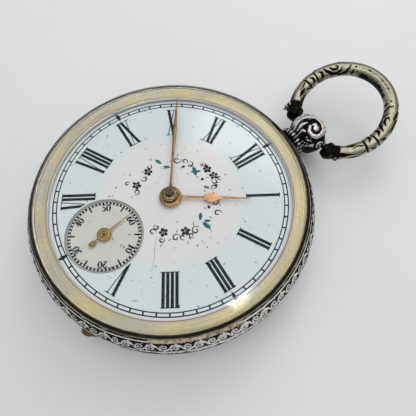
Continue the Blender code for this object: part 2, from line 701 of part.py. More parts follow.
def train():
    barrel_phase = 0.0
    centre_leaf_phase = meshing_phase(BARREL, BARREL_TEETH, barrel_phase, CENTRE, CENTRE_LEAVES)
    third_leaf_phase = meshing_phase(CENTRE, CENTRE_TEETH, 0.0, THIRD, THIRD_LEAVES)
    fourth_leaf_phase = meshing_phase(THIRD, THIRD_TEETH, 0.0, FOURTH, FOURTH_LEAVES)
    escape_leaf_phase = meshing_phase(FOURTH, FOURTH_TEETH, 0.0, ESCAPE, ESCAPE_LEAVES)

    wheel("centre_wheel", CENTRE_TEETH, CENTRE_MODULE, 0.0, 5.7, 5.95, CENTRE, 0.84)
    pinion("centre_pinion", CENTRE_LEAVES, BARREL_MODULE, centre_leaf_phase, (3.8, 4.6),
           ring(0.45, 0.8, 2.72, 7.38), CENTRE, 0.6)

    wheel("third_wheel", THIRD_TEETH, THIRD_MODULE, 0.0, 4.75, 5.0, THIRD, 0.38)
    shaft = [(0.0, 6.9), (0.15, 6.9), (0.15, 6.12), (0.34, 6.12), (0.34, 3.68), (0.15, 3.68),
             (0.15, 2.9), (0.0, 2.9)]
    pinion("third_pinion", THIRD_LEAVES, CENTRE_MODULE, third_leaf_phase, (5.5, 6.05), shaft, THIRD)

    wheel("fourth_wheel", FOURTH_TEETH, FOURTH_MODULE, 0.0, 5.42, 5.67, FOURTH, 0.38, rim=0.6)
    shaft = [(0.0, 9.36), (0.22, 9.36), (0.22, 6.12), (0.34, 6.12), (0.34, 3.68), (0.15, 3.68),
             (0.15, 2.9), (0.0, 2.9)]
    pinion("fourth_pinion", FOURTH_LEAVES, THIRD_MODULE, fourth_leaf_phase, (4.6, 5.15), shaft,
           FOURTH)

    teeth = []
    for i in range(ESCAPE_TEETH):
        start = 360.0 * i / ESCAPE_TEETH
        teeth += [polar(2.15, start), polar(2.6, start + 2.0), polar(2.45, start + 11.0),
                  polar(2.15, start + 11.5)]
    flat("escape_wheel", [teeth, circle(0.31, 12)] + windows(3, 0.75, 1.8, 0.35), 4.95, 5.2,
         STEEL, ESCAPE)
    shaft = [(0.0, 6.9), (0.15, 6.9), (0.15, 6.12), (0.27, 6.12), (0.27, 4.82), (0.15, 4.82),
             (0.15, 4.46), (0.0, 4.46)]
    pinion("escape_pinion", ESCAPE_LEAVES, FOURTH_MODULE, escape_leaf_phase, (5.28, 5.85), shaft,
           ESCAPE)


def barrel():
    """The going barrel, its cover, its arbor with the winding square, and the mainspring."""
    profile = [(7.4, 5.3), (7.4, 3.78), (1.06, 3.78), (1.06, 4.0), (6.95, 4.0), (6.95, 5.3)]
    drum = turned("barrel", profile, GILT, BARREL, 32)
    join(drum, flat("barrel_teeth", [wheel_outline(BARREL_TEETH, BARREL_MODULE, 0.0),
                                     circle(7.15, 32)], 3.9, 4.4, GILT, BARREL))
    turned("barrel_cover", ring(0.86, 7.3, 5.34, 5.55), GILT, BARREL, 32)
    shaft = [(0.0, 7.0), (0.6, 7.0), (0.6, 6.1), (0.8, 6.1), (0.8, 5.2), (1.3, 5.2), (1.3, 4.1),
             (1.0, 4.1), (1.0, 2.6), (0.0, 2.6)]
    arbor = turned("barrel_arbor", shaft, STEEL, BARREL, 20, closed=False)
    x, y = BARREL
    join(arbor, block("winding_square", (x - 0.6, y - 0.6, 1.72), (x + 0.6, y + 0.6, 2.8)))
    flat("mainspring", [spiral(1.7, 6.6, 4, 14, 0.045)], 4.12, 5.2, BLUED, BARREL)


def winding_work():
    teeth = []
    for i in range(RATCHET_TEETH):
        start = 360.0 * i / RATCHET_TEETH
        teeth += [polar(RATCHET_R - 0.35, start), polar(RATCHET_R, start + 1.5)]
    square = [(-0.64, -0.64), (0.64, -0.64), (0.64, 0.64), (-0.64, 0.64)]
    low = 2.2
    flat("ratchet_wheel", [teeth, square], low, 2.55, STEEL, BARREL)
    # the click's tip stands just clear of the teeth
    reach_x, reach_y = polar(RATCHET_R + 0.25, 58.0)
    tip = (BARREL[0] + reach_x - CLICK[0], BARREL[1] + reach_y - CLICK[1])
    body = link_outline((0.0, 0.0), 0.85, tip, 0.18)
    flat("click", [body, circle(0.42, 10)], low, 2.5, STEEL, CLICK)
    screw("click_screw", CLICK, low, 0.9, 0.6, 0.28, slotted=False)
    spring = arc(CLICK, 1.35, 10.0, 140.0, 10) + arc(CLICK, 1.15, 140.0, 10.0, 10)
    flat("click_spring", [spring], 2.28, 2.55, BLUED)


def motion_work():
    """Cannon pinion, minute wheel and hour wheel under the dial, and the setting arbor."""
    cannon_phase = 0.0
    pinion("cannon_pinion", CANNON_LEAVES, CANNON_MODULE, cannon_phase, (7.44, 7.72),
           ring(0.43, 0.72, 7.42, 10.1), CENTRE, 0.58)
    minute_phase = meshing_phase(CENTRE, CANNON_LEAVES, cannon_phase, MINUTE, MINUTE_TEETH)
    lower = flat("minute_wheel", [wheel_outline(MINUTE_TEETH, CANNON_MODULE, minute_phase),
                                  circle(0.46, 12)], 7.38, 7.62, GILT, MINUTE)
    join(lower, flat("minute_leaves", [leaf_outline(MINUTE_LEAVES, HOUR_MODULE, 0.0),
                                       circle(0.46, 12)], 7.5, 8.12, GILT, MINUTE))
    hour_phase = meshing_phase(MINUTE, MINUTE_LEAVES, 0.0, CENTRE, HOUR_TEETH)
    upper = flat("hour_wheel", [wheel_outline(HOUR_TEETH, HOUR_MODULE, hour_phase),
                                circle(1.0, 16)], 7.82, 8.08, GILT, CENTRE)
    join(upper, turned("hour_pipe", ring(0.82, 1.2, 7.8, 9.95), GILT, CENTRE, 16))
    profile = [(0.0, 10.95), (0.38, 10.95), (0.38, 2.4), (0.0, 2.4)]
    setter = turned("setting_arbor", profile, STEEL, CENTRE, 16, closed=False)
    join(setter, block("setting_square", (-0.6, -0.6, 1.74), (0.6, 0.6, 2.5)))


def balance():
    """The balance on its cylinder, the hairspring and the regulator."""
    outlines = [circle(6.2, 36), circle(5.4, 36)]
    rim = flat("balance_wheel", outlines, 3.85, 4.3, GILT, BALANCE)
    for angle in (0.0, 120.0, 240.0):
        arm = link_outline(polar(0.2, angle), 0.35, polar(5.7, angle), 0.25, 4)
        join(rim, flat("balance_arm", [arm], 3.95, 4.2, GILT, BALANCE))
    join(rim, flat("balance_hub", [circle(0.95, 16)], 3.9, 4.25, GILT, BALANCE))
    bore(rim, BALANCE, 0.38, 3.0, 5.0, 14)
    shaft = [(0.0, 6.9), (0.13, 6.9), (0.13, 6.1), (0.42, 6.1), (0.42, 4.5), (0.33, 4.5),
             (0.33, 3.5), (0.13, 3.5), (0.13, 2.8), (0.0, 2.8)]
    staff = turned("balance_staff", shaft, STEEL, BALANCE, 14, closed=False)
    x, y = BALANCE
    cut(staff, block("cylinder_notch", (x - 1, y - 1, 4.85), (x + 0.12, y + 1, 5.35)))
    flat("hairspring", [spiral(0.62, 2.37, 5, 12, 0.04)], 3.5, 3.7, BLUED, BALANCE)
    finger = link_outline((0.0, 0.0), 1.5, polar(4.2, 170.0), 0.3)
    flat("regulator", [finger, circle(0.8, 16)], 2.28, 2.55, STEEL, BALANCE)


case_band()
bezel()
crystal()
back_cover()
cuvette()
pendant()
bow()
dial()
hands()
main_plate()
bridges()
screws()
train()
barrel()
winding_work()
motion_work()
balance()
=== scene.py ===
"""Looks of the open face pocket watch: carved silver case, enamel dial, gilt hands and glass.

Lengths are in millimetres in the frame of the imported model, and MM turns them into metres.
Azimuths run clockwise from 12 o'clock, in degrees.
"""
import json
import math

import bmesh
import bpy
import numpy as np
from mathutils import Matrix, Vector

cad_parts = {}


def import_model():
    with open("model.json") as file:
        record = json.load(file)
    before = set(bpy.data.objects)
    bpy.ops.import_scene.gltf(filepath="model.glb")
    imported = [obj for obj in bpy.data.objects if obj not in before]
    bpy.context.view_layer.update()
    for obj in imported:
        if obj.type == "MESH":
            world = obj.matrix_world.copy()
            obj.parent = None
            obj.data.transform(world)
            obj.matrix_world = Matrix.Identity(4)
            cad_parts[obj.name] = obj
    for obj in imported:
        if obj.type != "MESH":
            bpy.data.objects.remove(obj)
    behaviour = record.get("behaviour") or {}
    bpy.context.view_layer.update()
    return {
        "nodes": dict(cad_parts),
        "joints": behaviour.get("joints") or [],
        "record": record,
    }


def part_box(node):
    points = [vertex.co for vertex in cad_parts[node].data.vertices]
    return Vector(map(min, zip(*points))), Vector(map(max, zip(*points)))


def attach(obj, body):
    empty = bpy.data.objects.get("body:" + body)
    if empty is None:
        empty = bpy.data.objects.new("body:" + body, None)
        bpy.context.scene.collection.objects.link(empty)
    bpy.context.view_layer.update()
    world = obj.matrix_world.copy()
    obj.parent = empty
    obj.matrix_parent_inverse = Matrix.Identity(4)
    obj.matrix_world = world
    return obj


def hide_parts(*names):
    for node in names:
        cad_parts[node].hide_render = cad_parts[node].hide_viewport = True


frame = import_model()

MM = 0.001
JOINTS = {joint["name"]: joint for joint in frame["joints"]}


def joint_mm(name):
    return Vector(JOINTS[name]["pos_m"]) / MM


def box_mm(node):
    low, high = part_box(node)
    return low / MM, high / MM


# ---- sizes taken from the frame ----
TRACK_R = 19.0
DIAL_Z = box_mm("dial")[1].z
SECONDS = joint_mm("seconds_arbor")
SECONDS_Z = box_mm("seconds_dial")[1].z
BOW_PIVOT = joint_mm("bow_swivel")
BOW_TILT = math.radians(17.0)
BOW_RING_R = 8.48
BOW_DROP = 6.8
BOW_WIRE_R = 1.27
PENDANT_Z = BOW_PIVOT.z
SMOOTH = 256  # steps round a full turn
rng = np.random.default_rng(7)


# ---- shapes: every function returns (points, faces) with points in mm ----
def full_turn(steps):
    return np.arange(steps) * 2.0 * math.pi / steps


def around_z(radius, turn, height):
    """Points around Z, clockwise from +Y; each value may be a number or an array."""
    return np.stack(np.broadcast_arrays(radius * np.sin(turn), radius * np.cos(turn), height), axis=-1)


def lathe(profile, steps=SMOOTH, closed=True):
    """Turns a profile of (radius, z) about Z."""
    radius, height = np.array(profile, float).T[..., None]
    return around_z(radius, full_turn(steps), height).reshape(-1, 3), grid_faces(len(profile), steps, closed)


def grid_faces(rows, columns, wrap_rows=False):
    """Quads of a grid of rows by columns that closes on itself round each row."""
    faces = []
    for i in range(rows if wrap_rows else rows - 1):
        low, high = i * columns, (i + 1) % rows * columns
        for k in range(columns):
            after = (k + 1) % columns
            faces.append((low + k, low + after, high + after, high + k))
    return faces


def loft(rings):
    """Skins a row of rings and caps both ends."""
    rings = np.array(rings, float)
    rows, columns = rings.shape[:2]
    faces = grid_faces(rows, columns)
    faces.append(tuple(range(columns)))
    faces.append(tuple(range((rows - 1) * columns, rows * columns)))
    return rings.reshape(-1, 3), faces


def tube(path, radii, sides=12):
    """A round bar along a path, with a radius for each point."""
    path = np.array(path, float)
    along = np.gradient(path, axis=0)
    along /= np.linalg.norm(along, axis=1)[:, None]
    side = np.cross(along[0], (0.31, 0.2, 0.93))
    turn = full_turn(sides)
    rings = []
    for point, direction, radius in zip(path, along, radii):
        side = side - direction * side.dot(direction)
        side /= np.linalg.norm(side)
        other = np.cross(direction, side)
        rings.append(point + radius * (np.outer(np.cos(turn), side) + np.outer(np.sin(turn), other)))
    return loft(rings)


def prism(outline, low, high):
    """An upright prism on a flat outline."""
    base = [(x, y, low) for x, y in outline]
    return loft([base, [(x, y, high) for x, y in outline]])


def block(low, high):
    (x0, y0, z0), (x1, y1, z1) = low, high
    return prism([(x0, y0), (x1, y0), (x1, y1), (x0, y1)], z0, z1)


def moved(part, matrix):
    points, faces = part
    turn = np.array(matrix.to_3x3())
    return points @ turn.T + np.array(matrix.translation), faces


def shifted(part, x, y, z):
    return moved(part, Matrix.Translation((x, y, z)))


def polar(radius, azimuth, centre=(0.0, 0.0)):
    angle = math.radians(azimuth)
    return (centre[0] + radius * math.sin(angle), centre[1] + radius * math.cos(angle))


def arc(radius, start, stop, count):
    return [polar(radius, azimuth) for azimuth in np.linspace(start, stop, count)]


def facing_out(across, out, azimuth, centre=(0.0, 0.0)):
    """A point given across and outwards, turned to stand at an azimuth of a centre."""
    angle = math.radians(azimuth)
    return (centre[0] + across * math.cos(angle) + out * math.sin(angle),
            centre[1] - across * math.sin(angle) + out * math.cos(angle))


def spun(x, y, heading, centre):
    """A point turned anticlockwise about the origin by degrees, then moved to a centre."""
    turn = math.radians(heading)
    return (centre[0] + x * math.cos(turn) - y * math.sin(turn),
            centre[1] + x * math.sin(turn) + y * math.cos(turn))


def scaled(factor, values):
    return tuple(factor * value for value in values)


def hill(values, middle, width):
    """A smooth hill 1 high over some values."""
    return np.exp(-((values - middle) / width) ** 2)


def travelled(points):
    """The distance run along a line at each of its points."""
    return np.concatenate([[0.0], np.cumsum(np.hypot(*np.diff(np.array(points), axis=0).T))])


# ---- objects ----
def added(name, data):
    """A new object in the scene."""
    made = bpy.data.objects.new(name, data)
    bpy.context.scene.collection.objects.link(made)
    return made


def make(name, parts, look, body, replaces=(), relief=None, sharp=35.0, merge=True):
    """One object from several shapes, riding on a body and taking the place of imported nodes.

    relief is a value for each point, sharp the angle in degrees from which an edge stays sharp, and
    merge joins points that meet.
    """
    points, faces, offset = [], [], 0
    for part_points, part_faces in parts:
        points.append(np.asarray(part_points, float))
        faces += [tuple(index + offset for index in face) for face in part_faces]
        offset += len(part_points)
    mesh = bpy.data.meshes.new(name)
    mesh.from_pydata((np.concatenate(points) * MM).tolist(), [], faces)
    if relief is not None:
        layer = mesh.attributes.new("relief", "FLOAT", "POINT")
        layer.data.foreach_set("value", np.asarray(relief, np.float32))
    work = bmesh.new()
    work.from_mesh(mesh)
    if merge:
        bmesh.ops.remove_doubles(work, verts=work.verts, dist=1e-7)
        bmesh.ops.dissolve_degenerate(work, edges=work.edges, dist=1e-8)
    bmesh.ops.recalc_face_normals(work, faces=work.faces)
    work.to_mesh(mesh)
    work.free()
    mesh.shade_smooth()
    mesh.set_sharp_from_angle(angle=math.radians(sharp))
    mesh.materials.append(look)
    obj = added(name, mesh)
    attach(obj, body)
    if replaces:
        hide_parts(*replaces)
    return obj


LEAF_STEPS = 8
LEAF_WIDTHS = (0.35, 0.9, 1.0, 0.75, 0.2)


class Relief:
    """A map of heights from 0 to 1 over u, which wraps round, and v, both in mm."""

    def __init__(self, around, along, step, base=0.0):
        self.columns = round(around / step)
        self.rows = round(along / step) + 1
        self.du = around / self.columns
        self.dv = along / (self.rows - 1)
        self.map = np.full((self.rows, self.columns), float(base))

    def stamp(self, u, v, radius, height=1.0, groove=False):
        reach_u, reach_v = int(radius / self.du) + 1, int(radius / self.dv) + 1
        column, row = round(u / self.du), round(v / self.dv)
        columns = np.arange(column - reach_u, column + reach_u + 1)
        rows = np.arange(max(row - reach_v, 0), min(row + reach_v + 1, self.rows))
        if len(rows) == 0:
            return
        far = np.hypot((columns * self.du - u)[None, :], (rows * self.dv - v)[:, None]) / radius
        dome = height * np.sqrt(np.clip(1.0 - far ** 2, 0.0, 1.0))
        where = np.ix_(rows, columns % self.columns)
        if groove:
            self.map[where] = np.minimum(self.map[where], 1.0 - dome)
        else:
            self.map[where] = np.maximum(self.map[where], dome)

    def stroke(self, points, radii, height=1.0, groove=False):
        """A rounded line through points, its radius going through the radii."""
        points = np.array(points, float)
        run = travelled(points)
        total = run[-1]
        stops = np.linspace(0.0, total, max(2, int(total / (0.35 * min(radii) + 0.02))))
        widths = np.interp(stops / total, np.linspace(0.0, 1.0, len(radii)), radii)
        for at, radius in zip(stops, widths):
            u = np.interp(at, run, points[:, 0])
            v = np.interp(at, run, points[:, 1])
            self.stamp(u, v, radius, height, groove)

    def leaf(self, root, heading, length, bend, width, height=1.0):
        """A leaf that leaves its root at a heading in degrees and bends as it goes."""
        points, step = [root], length / LEAF_STEPS
        for i in range(LEAF_STEPS):
            angle = math.radians(heading + bend * i / LEAF_STEPS)
            points.append((points[-1][0] + step * math.cos(angle), points[-1][1] + step * math.sin(angle)))
        self.stroke(points, scaled(width, LEAF_WIDTHS), height)

    def line(self, v, radius, height=1.0, groove=False):
        """A bead or a groove all the way round."""
        rows = np.arange(self.rows)
        dome = height * np.sqrt(np.clip(1.0 - ((rows * self.dv - v) / radius) ** 2, 0.0, 1.0))[:, None]
        self.map = np.minimum(self.map, 1.0 - dome) if groove else np.maximum(self.map, dome)


def profile_rows(profile, rows, side):
    """Radius, z and unit normal (in radius and z) at even steps along a profile. side is 1 when the
    outside lies on the right of the profile's direction, and -1 when it lies on the left."""
    profile = np.array(profile, float)
    run = travelled(profile)
    at = np.linspace(0.0, run[-1], rows)
    radius, height = np.interp(at, run, profile[:, 0]), np.interp(at, run, profile[:, 1])
    normal = side * np.stack([np.gradient(height), -np.gradient(radius)], axis=1)
    return radius, height, normal / (np.linalg.norm(normal, axis=1)[:, None] + 1e-9)


def curl(centre, radius, start, turns, inner=0.25, count=22):
    """Points of a spiral that winds in towards its centre; start in degrees, turns signed."""
    points = []
    for t in np.linspace(0.0, 1.0, count):
        angle = math.radians(start) + 2.0 * math.pi * turns * t
        reach = radius * (1.0 - (1.0 - inner) * t)
        points.append((centre[0] + reach * math.cos(angle), centre[1] + reach * math.sin(angle)))
    return points


# ---- materials ----
class Nodes:
    """A node tree with a short way to add to it."""

    def __init__(self, tree):
        self.tree = tree

    def feed(self, socket, value):
        """Links an output to a socket, or sets the socket to a value."""
        if isinstance(value, bpy.types.NodeSocket):
            self.tree.links.new(value, socket)
        elif socket.type == "RGBA" and len(value) == 3:
            socket.default_value = (*value, 1.0)
        else:
            socket.default_value = value

    def node(self, kind, inputs, output=0, **settings):
        """Adds a node, feeds its inputs and gives one of its outputs."""
        made = self.tree.nodes.new("ShaderNode" + kind)
        for key, value in settings.items():
            setattr(made, key, value)
        for socket, value in inputs.items():
            self.feed(made.inputs[socket], value)
        return made.outputs[output]


class Look(Nodes):
    """A Principled material with the nodes that vary it over the object's own coordinates."""

    def __init__(self, name, colour, roughness, metallic=0.0):
        self.material = bpy.data.materials.new(name)
        self.material.use_nodes = True
        super().__init__(self.material.node_tree)
        self.shader = self.tree.nodes["Principled BSDF"]
        self.set("Base Color", colour)
        self.set("Roughness", roughness)
        self.set("Metallic", metallic)
        self.place = self.node("TexCoord", {}, "Object")

    def set(self, socket, value):
        self.feed(self.shader.inputs[socket], value)

    def noise(self, per_mm, detail=3.0, stretch=(1.0, 1.0, 1.0), place=None):
        """Noise with so many features a millimetre."""
        mapped = self.node("Mapping", {"Vector": place or self.place, "Scale": stretch})
        return self.node("TexNoise", {"Vector": mapped, "Scale": per_mm / MM, "Detail": detail}, "Fac")

    def polar(self):
        """Radius in m and angle in radians about Z."""
        parts = self.node("SeparateXYZ", {0: self.place}).node.outputs
        length = self.node("VectorMath", {0: self.vector(parts[0], parts[1])}, "Value", operation="LENGTH")
        return length, self.math("ARCTAN2", parts[1], parts[0])

    def math(self, operation, first, second=0.0, clamp=False):
        return self.node("Math", {0: first, 1: second}, operation=operation, use_clamp=clamp)

    def vector(self, x, y, z=0.0):
        return self.node("CombineXYZ", {0: x, 1: y, 2: z})

    def ramp(self, factor, low, high, first=0.0, last=1.0):
        """Maps low..high smoothly to first..last."""
        limits = {"From Min": low, "From Max": high, "To Min": first, "To Max": last}
        return self.node("MapRange", {"Value": factor, **limits}, interpolation_type="SMOOTHSTEP")

    def ring(self, radius, rise, fall):
        """1 between two edges, each given as the two radii in mm that it fades over."""
        start = self.ramp(radius, rise[0] * MM, rise[1] * MM)
        return self.math("MULTIPLY", start, self.ramp(radius, fall[0] * MM, fall[1] * MM, 1.0, 0.0))

    def mix(self, factor, first, second, blend="MIX"):
        """Mixes two colours; sockets 6 and 7 are the node's colours A and B."""
        colours = {"Factor": factor, 6: first, 7: second}
        return self.node("Mix", colours, 2, data_type="RGBA", blend_type=blend)

    def roughen(self, factor, low, high):
        self.set("Roughness", self.ramp(factor, 0.3, 0.7, low, high))

    def bump(self, height, depth_mm, strength=1.0):
        self.set("Normal", self.node("Bump", {"Strength": strength, "Distance": depth_mm * MM,
                                              "Height": height}))


def carved(name, bright, dark, low=0.25, high=0.62, roughness=0.2, grain=1.5, metallic=1.0):
    """Silver that is bright on the raised relief and oxidised in the hollows."""
    look = Look(name, bright, roughness, metallic)
    # the relief attribute holds the carving's height; on the band and the bow it also carries painted
    # highlight and painted shade
    relief = look.node("Attribute", {}, "Fac", attribute_name="relief")
    dirt_and_shade = look.noise(grain, 4.0)
    raised = look.math("ADD", relief, look.ramp(dirt_and_shade, 0.3, 0.7, -0.16, 0.16))
    bright_share = look.ramp(raised, low, high)
    tone = look.mix(look.ramp(dirt_and_shade, 0.35, 0.7), bright, scaled(0.72, bright))
    look.set("Base Color", look.mix(bright_share, dark, tone))
    look.set("Roughness", look.ramp(look.math("MULTIPLY", bright_share, look.ramp(dirt_and_shade, 0.2, 0.8, 1.0, 0.8)),
                                     0.0, 1.0, 0.55, roughness))
    look.set("Specular IOR Level", 0.1)
    look.bump(look.noise(grain * 5.0, 2.0), 0.01, 0.5)
    return look.material


def plain_metal(name, colour, roughness):
    """Bare metal with a faint mottled tarnish and fine scratches."""
    look = Look(name, colour, roughness, 1.0)
    stain_and_shade = look.noise(0.45, 4.0)
    look.set("Base Color", look.mix(look.ramp(stain_and_shade, 0.35, 0.75), colour, scaled(0.75, colour)))
    look.roughen(look.noise(1.7, 3.0), roughness - 0.06, roughness + 0.06)
    look.bump(look.noise(6.0, 2.0, (1.0, 0.12, 1.0)), 0.006, 0.5)
    return look.material


def dark_reflection_silver(name):
    """Polished silver painted near black for its dark reflection, paler in patches, with a painted highlight
    in a line near its rim.
    """
    look = Look(name, (0.012, 0.011, 0.010), 0.32, 0.2)
    wear = look.noise(0.7, 4.0)
    radius, _ = look.polar()
    # painted highlight: a pale line round the rim
    painted_rim_highlight = look.math("MULTIPLY", look.ring(radius, (22.18, 22.22), (22.31, 22.34)),
                       look.ramp(look.noise(0.35, 3.0), 0.38, 0.56, 0.35, 1.0))
    # painted dark reflection: the polished silver is coloured near black, paler in patches
    black = look.mix(look.ramp(wear, 0.58, 0.8, 0.0, 0.25), (0.010, 0.009, 0.008), (0.14, 0.11, 0.08))
    look.set("Base Color", look.mix(painted_rim_highlight, black, (0.42, 0.36, 0.25)))
    look.roughen(wear, 0.26, 0.42)
    look.set("Specular IOR Level", 0.15)
    look.bump(look.noise(5.0, 2.0), 0.006, 0.5)
    return look.material


def brushed_ring(name, colour, roughness):
    """Metal turned on a lathe: fine concentric lines, warmer and greyer patches, painted shade in brown
    bands at both edges, a near black painted shade at the outer rim, and a pale inner wall."""
    look = Look(name, colour, roughness, 1.0)
    radius, angle = look.polar()
    lines = look.noise(7.0, 2.0, place=look.vector(radius, look.math("MULTIPLY", angle, 0.00022)))
    broad = look.noise(0.12, 3.0)
    warm = look.mix(look.ramp(broad, 0.35, 0.65), colour, (0.33, 0.315, 0.25))
    streaks = look.math("MULTIPLY", look.ramp(lines, 0.3, 0.72, 0.8, 1.05),
                        look.ramp(look.noise(3.2, 3.0), 0.35, 0.7, 1.03, 0.86))
    turned = look.mix(1.0, warm, look.vector(streaks, streaks, streaks), "MULTIPLY")
    # painted shade: a patchy brown band towards the outer edge and a brown band at the inner edge
    outer_shade = look.math("MULTIPLY", look.ramp(radius, 21.4 * MM, 21.68 * MM),
                            look.ramp(look.noise(0.9, 4.0), 0.42, 0.6))
    inner_shade = look.ramp(radius, 19.8 * MM, 19.94 * MM, 0.9, 0.0)
    stain_and_shade = look.math("ADD", outer_shade, inner_shade, clamp=True)
    # painted shade: the outer rim is coloured near black
    edge = look.ramp(radius, 21.52 * MM, 21.66 * MM)
    wall = look.ramp(radius, 19.66 * MM, 19.68 * MM, 1.0, 0.0)
    tone = look.mix(stain_and_shade, turned, (0.20, 0.14, 0.07))
    tone = look.mix(edge, tone, (0.012, 0.010, 0.008))
    look.set("Base Color", look.mix(wall, tone, (0.78, 0.80, 0.80)))
    look.roughen(lines, roughness - 0.06, roughness + 0.08)
    look.bump(lines, 0.012, 0.6)
    return look.material


def enamel(name, centre, zone, edge, inner_r, outer_r):
    """Fired enamel: a tinted zone between two radii, pinholes and specks, a glassy skin."""
    look = Look(name, zone, 0.16, 0.0)
    radius, _ = look.polar()
    tint = look.mix(look.ramp(radius, (inner_r - 1.0) * MM, (inner_r + 1.0) * MM), centre, zone)
    tint = look.mix(look.ramp(radius, (outer_r - 0.1) * MM, (outer_r + 0.1) * MM), tint, edge)
    cloud = look.ramp(look.noise(0.25, 4.0), 0.35, 0.7, 0.0, 0.12)
    tint = look.mix(cloud, tint, (0.62, 0.68, 0.67))
    dots = look.node("TexVoronoi", {"Vector": look.place, "Scale": 1.1 / MM}, "Distance")
    near = look.ramp(dots, 0.05, 0.10, 1.0, 0.0)
    chosen = look.ramp(look.noise(0.8, 2.0), 0.56, 0.66)
    speck = look.math("MULTIPLY", look.math("MULTIPLY", near, chosen), 0.55)
    look.set("Base Color", look.mix(speck, tint, (0.16, 0.17, 0.15)))
    look.roughen(look.noise(0.7, 3.0), 0.12, 0.22)
    look.set("Coat Weight", 0.35)
    look.set("Coat Roughness", 0.06)
    look.bump(look.noise(0.35, 2.0), 0.02, 0.35)
    return look.material


def ink(name, colour):
    """Painted and fired ink, thinner in places."""
    look = Look(name, colour, 0.3, 0.0)
    wear = look.ramp(look.noise(3.0, 3.0), 0.55, 0.8, 0.0, 0.3)
    look.set("Base Color", look.mix(wear, colour, tuple(min(1.0, part * 2.2 + 0.05) for part in colour)))
    look.roughen(look.noise(2.0), 0.22, 0.4)
    look.set("Specular IOR Level", 0.06)
    return look.material


def gilt(name, colour, roughness, dark):
    """Gilt metal worn to a darker tone in patches."""
    look = Look(name, colour, roughness, 1.0)
    wear = look.noise(1.6, 4.0)
    grain = look.noise(9.0, 2.0)
    tone = look.mix(look.ramp(wear, 0.45, 0.72), colour, dark)
    look.set("Base Color", look.mix(look.ramp(grain, 0.55, 0.8, 0.0, 0.4), tone, dark))
    look.roughen(wear, roughness, roughness + 0.14)
    look.bump(grain, 0.01, 0.6)
    return look.material


def turned_hub(name):
    """A turned boss: bright rings with painted shade in dark rings between them."""
    look = Look(name, (0.34, 0.21, 0.09), 0.24, 1.0)
    radius, _ = look.polar()
    dirt_and_shade = None
    # painted shade: three dark rings between the bright ones
    for inner, outer in ((0.5, 0.68), (0.98, 1.1), (1.24, 1.34)):
        band = look.ring(radius, (inner - 0.06, inner), (outer, outer + 0.06))
        dirt_and_shade = band if dirt_and_shade is None else look.math("MAXIMUM", dirt_and_shade, band)
    wear = look.noise(2.0, 3.0)
    tone = look.mix(look.ramp(wear, 0.45, 0.7), (0.47, 0.31, 0.13), (0.26, 0.155, 0.065))
    look.set("Base Color", look.mix(dirt_and_shade, tone, (0.025, 0.015, 0.008)))
    look.roughen(wear, 0.18, 0.34)
    look.bump(wear, 0.01, 0.4)
    return look.material


def pear_hand(name):
    """A gilt hand whose pear has turned coppery."""
    look = Look(name, (0.42, 0.24, 0.11), 0.28, 1.0)
    radius, _ = look.polar()
    pear = look.ring(radius, (5.2, 5.6), (7.7, 8.6))
    wear = look.noise(1.4, 4.0)
    tone = look.mix(pear, (0.25, 0.15, 0.065), (0.41, 0.225, 0.115))
    look.set("Base Color", look.mix(look.ramp(wear, 0.5, 0.75, 0.0, 0.7), tone, (0.20, 0.10, 0.05)))
    look.roughen(wear, 0.26, 0.42)
    look.bump(look.noise(9.0, 2.0), 0.01, 0.6)
    return look.material


def engine_turned(name):
    """Polished silver with engine-turned rays that leave a plain oval in the middle."""
    look = Look(name, (0.80, 0.79, 0.76), 0.16, 1.0)
    radius, angle = look.polar()
    wave = look.math("SINE", look.math("MULTIPLY", radius, 2.0 * math.pi / (1.3 * MM)))
    phase = look.math("ADD", look.math("MULTIPLY", angle, 90.0), look.math("MULTIPLY", wave, 1.1))
    rays = look.math("SINE", phase)
    zone = look.ring(radius, (5.2, 5.6), (20.6, 20.9))
    look.bump(look.math("MULTIPLY", rays, zone), 0.035, 0.9)
    dirt_and_shade = look.noise(0.8, 4.0)
    tone = look.mix(look.ramp(dirt_and_shade, 0.4, 0.75), (0.80, 0.79, 0.76), (0.60, 0.58, 0.53))
    groove = look.math("MULTIPLY", look.ramp(rays, -1.0, -0.5, 1.0, 0.0), zone)
    look.set("Base Color", look.mix(groove, tone, (0.30, 0.29, 0.27)))
    look.roughen(dirt_and_shade, 0.12, 0.24)
    return look.material


def glass(name):
    """Clear and thin, so it bends and mirrors little; a rough coat spreads the lamps' glint."""
    look = Look(name, (1.0, 1.0, 1.0), 0.0, 0.0)
    look.set("Transmission Weight", 1.0)
    look.set("IOR", 1.12)
    look.set("Coat Weight", 0.5)
    look.set("Coat IOR", 1.15)
    look.set("Coat Roughness", 0.08)
    smear = look.ramp(look.noise(0.3, 4.0), 0.6, 0.9, 0.0, 0.006)
    look.set("Roughness", smear)
    return look.material


ENGRAVED = carved("engraved_silver", (0.97, 0.95, 0.90), (0.010, 0.009, 0.008), 0.52, 0.98, 0.3, metallic=0.3)
BOW_SILVER = carved("bow_silver", (0.50, 0.475, 0.35), (0.010, 0.009, 0.008), 0.42, 0.9, 0.16)
PENDANT_SILVER = carved("pendant_silver", (0.90, 0.86, 0.84), (0.008, 0.007, 0.007), 0.35, 0.7, 0.24, 2.0,
                        metallic=0.8)
SILVER = plain_metal("polished_silver", (0.80, 0.79, 0.76), 0.14)
# the bezel's black is painted dark reflection, and its pale rim line a painted highlight
BEZEL_SILVER = dark_reflection_silver("bezel_painted_dark_reflection")
BACK_SILVER = engine_turned("engine_turned_silver")
CHAMPAGNE = brushed_ring("champagne_ring", (0.41, 0.36, 0.205), 0.36)
# the bezel lip: a warm pale tone beside the bezel's black, which is painted dark reflection
LIP_WARM_PALE = gilt("bezel_lip_warm", (0.34, 0.29, 0.22), 0.3, (0.06, 0.045, 0.03))
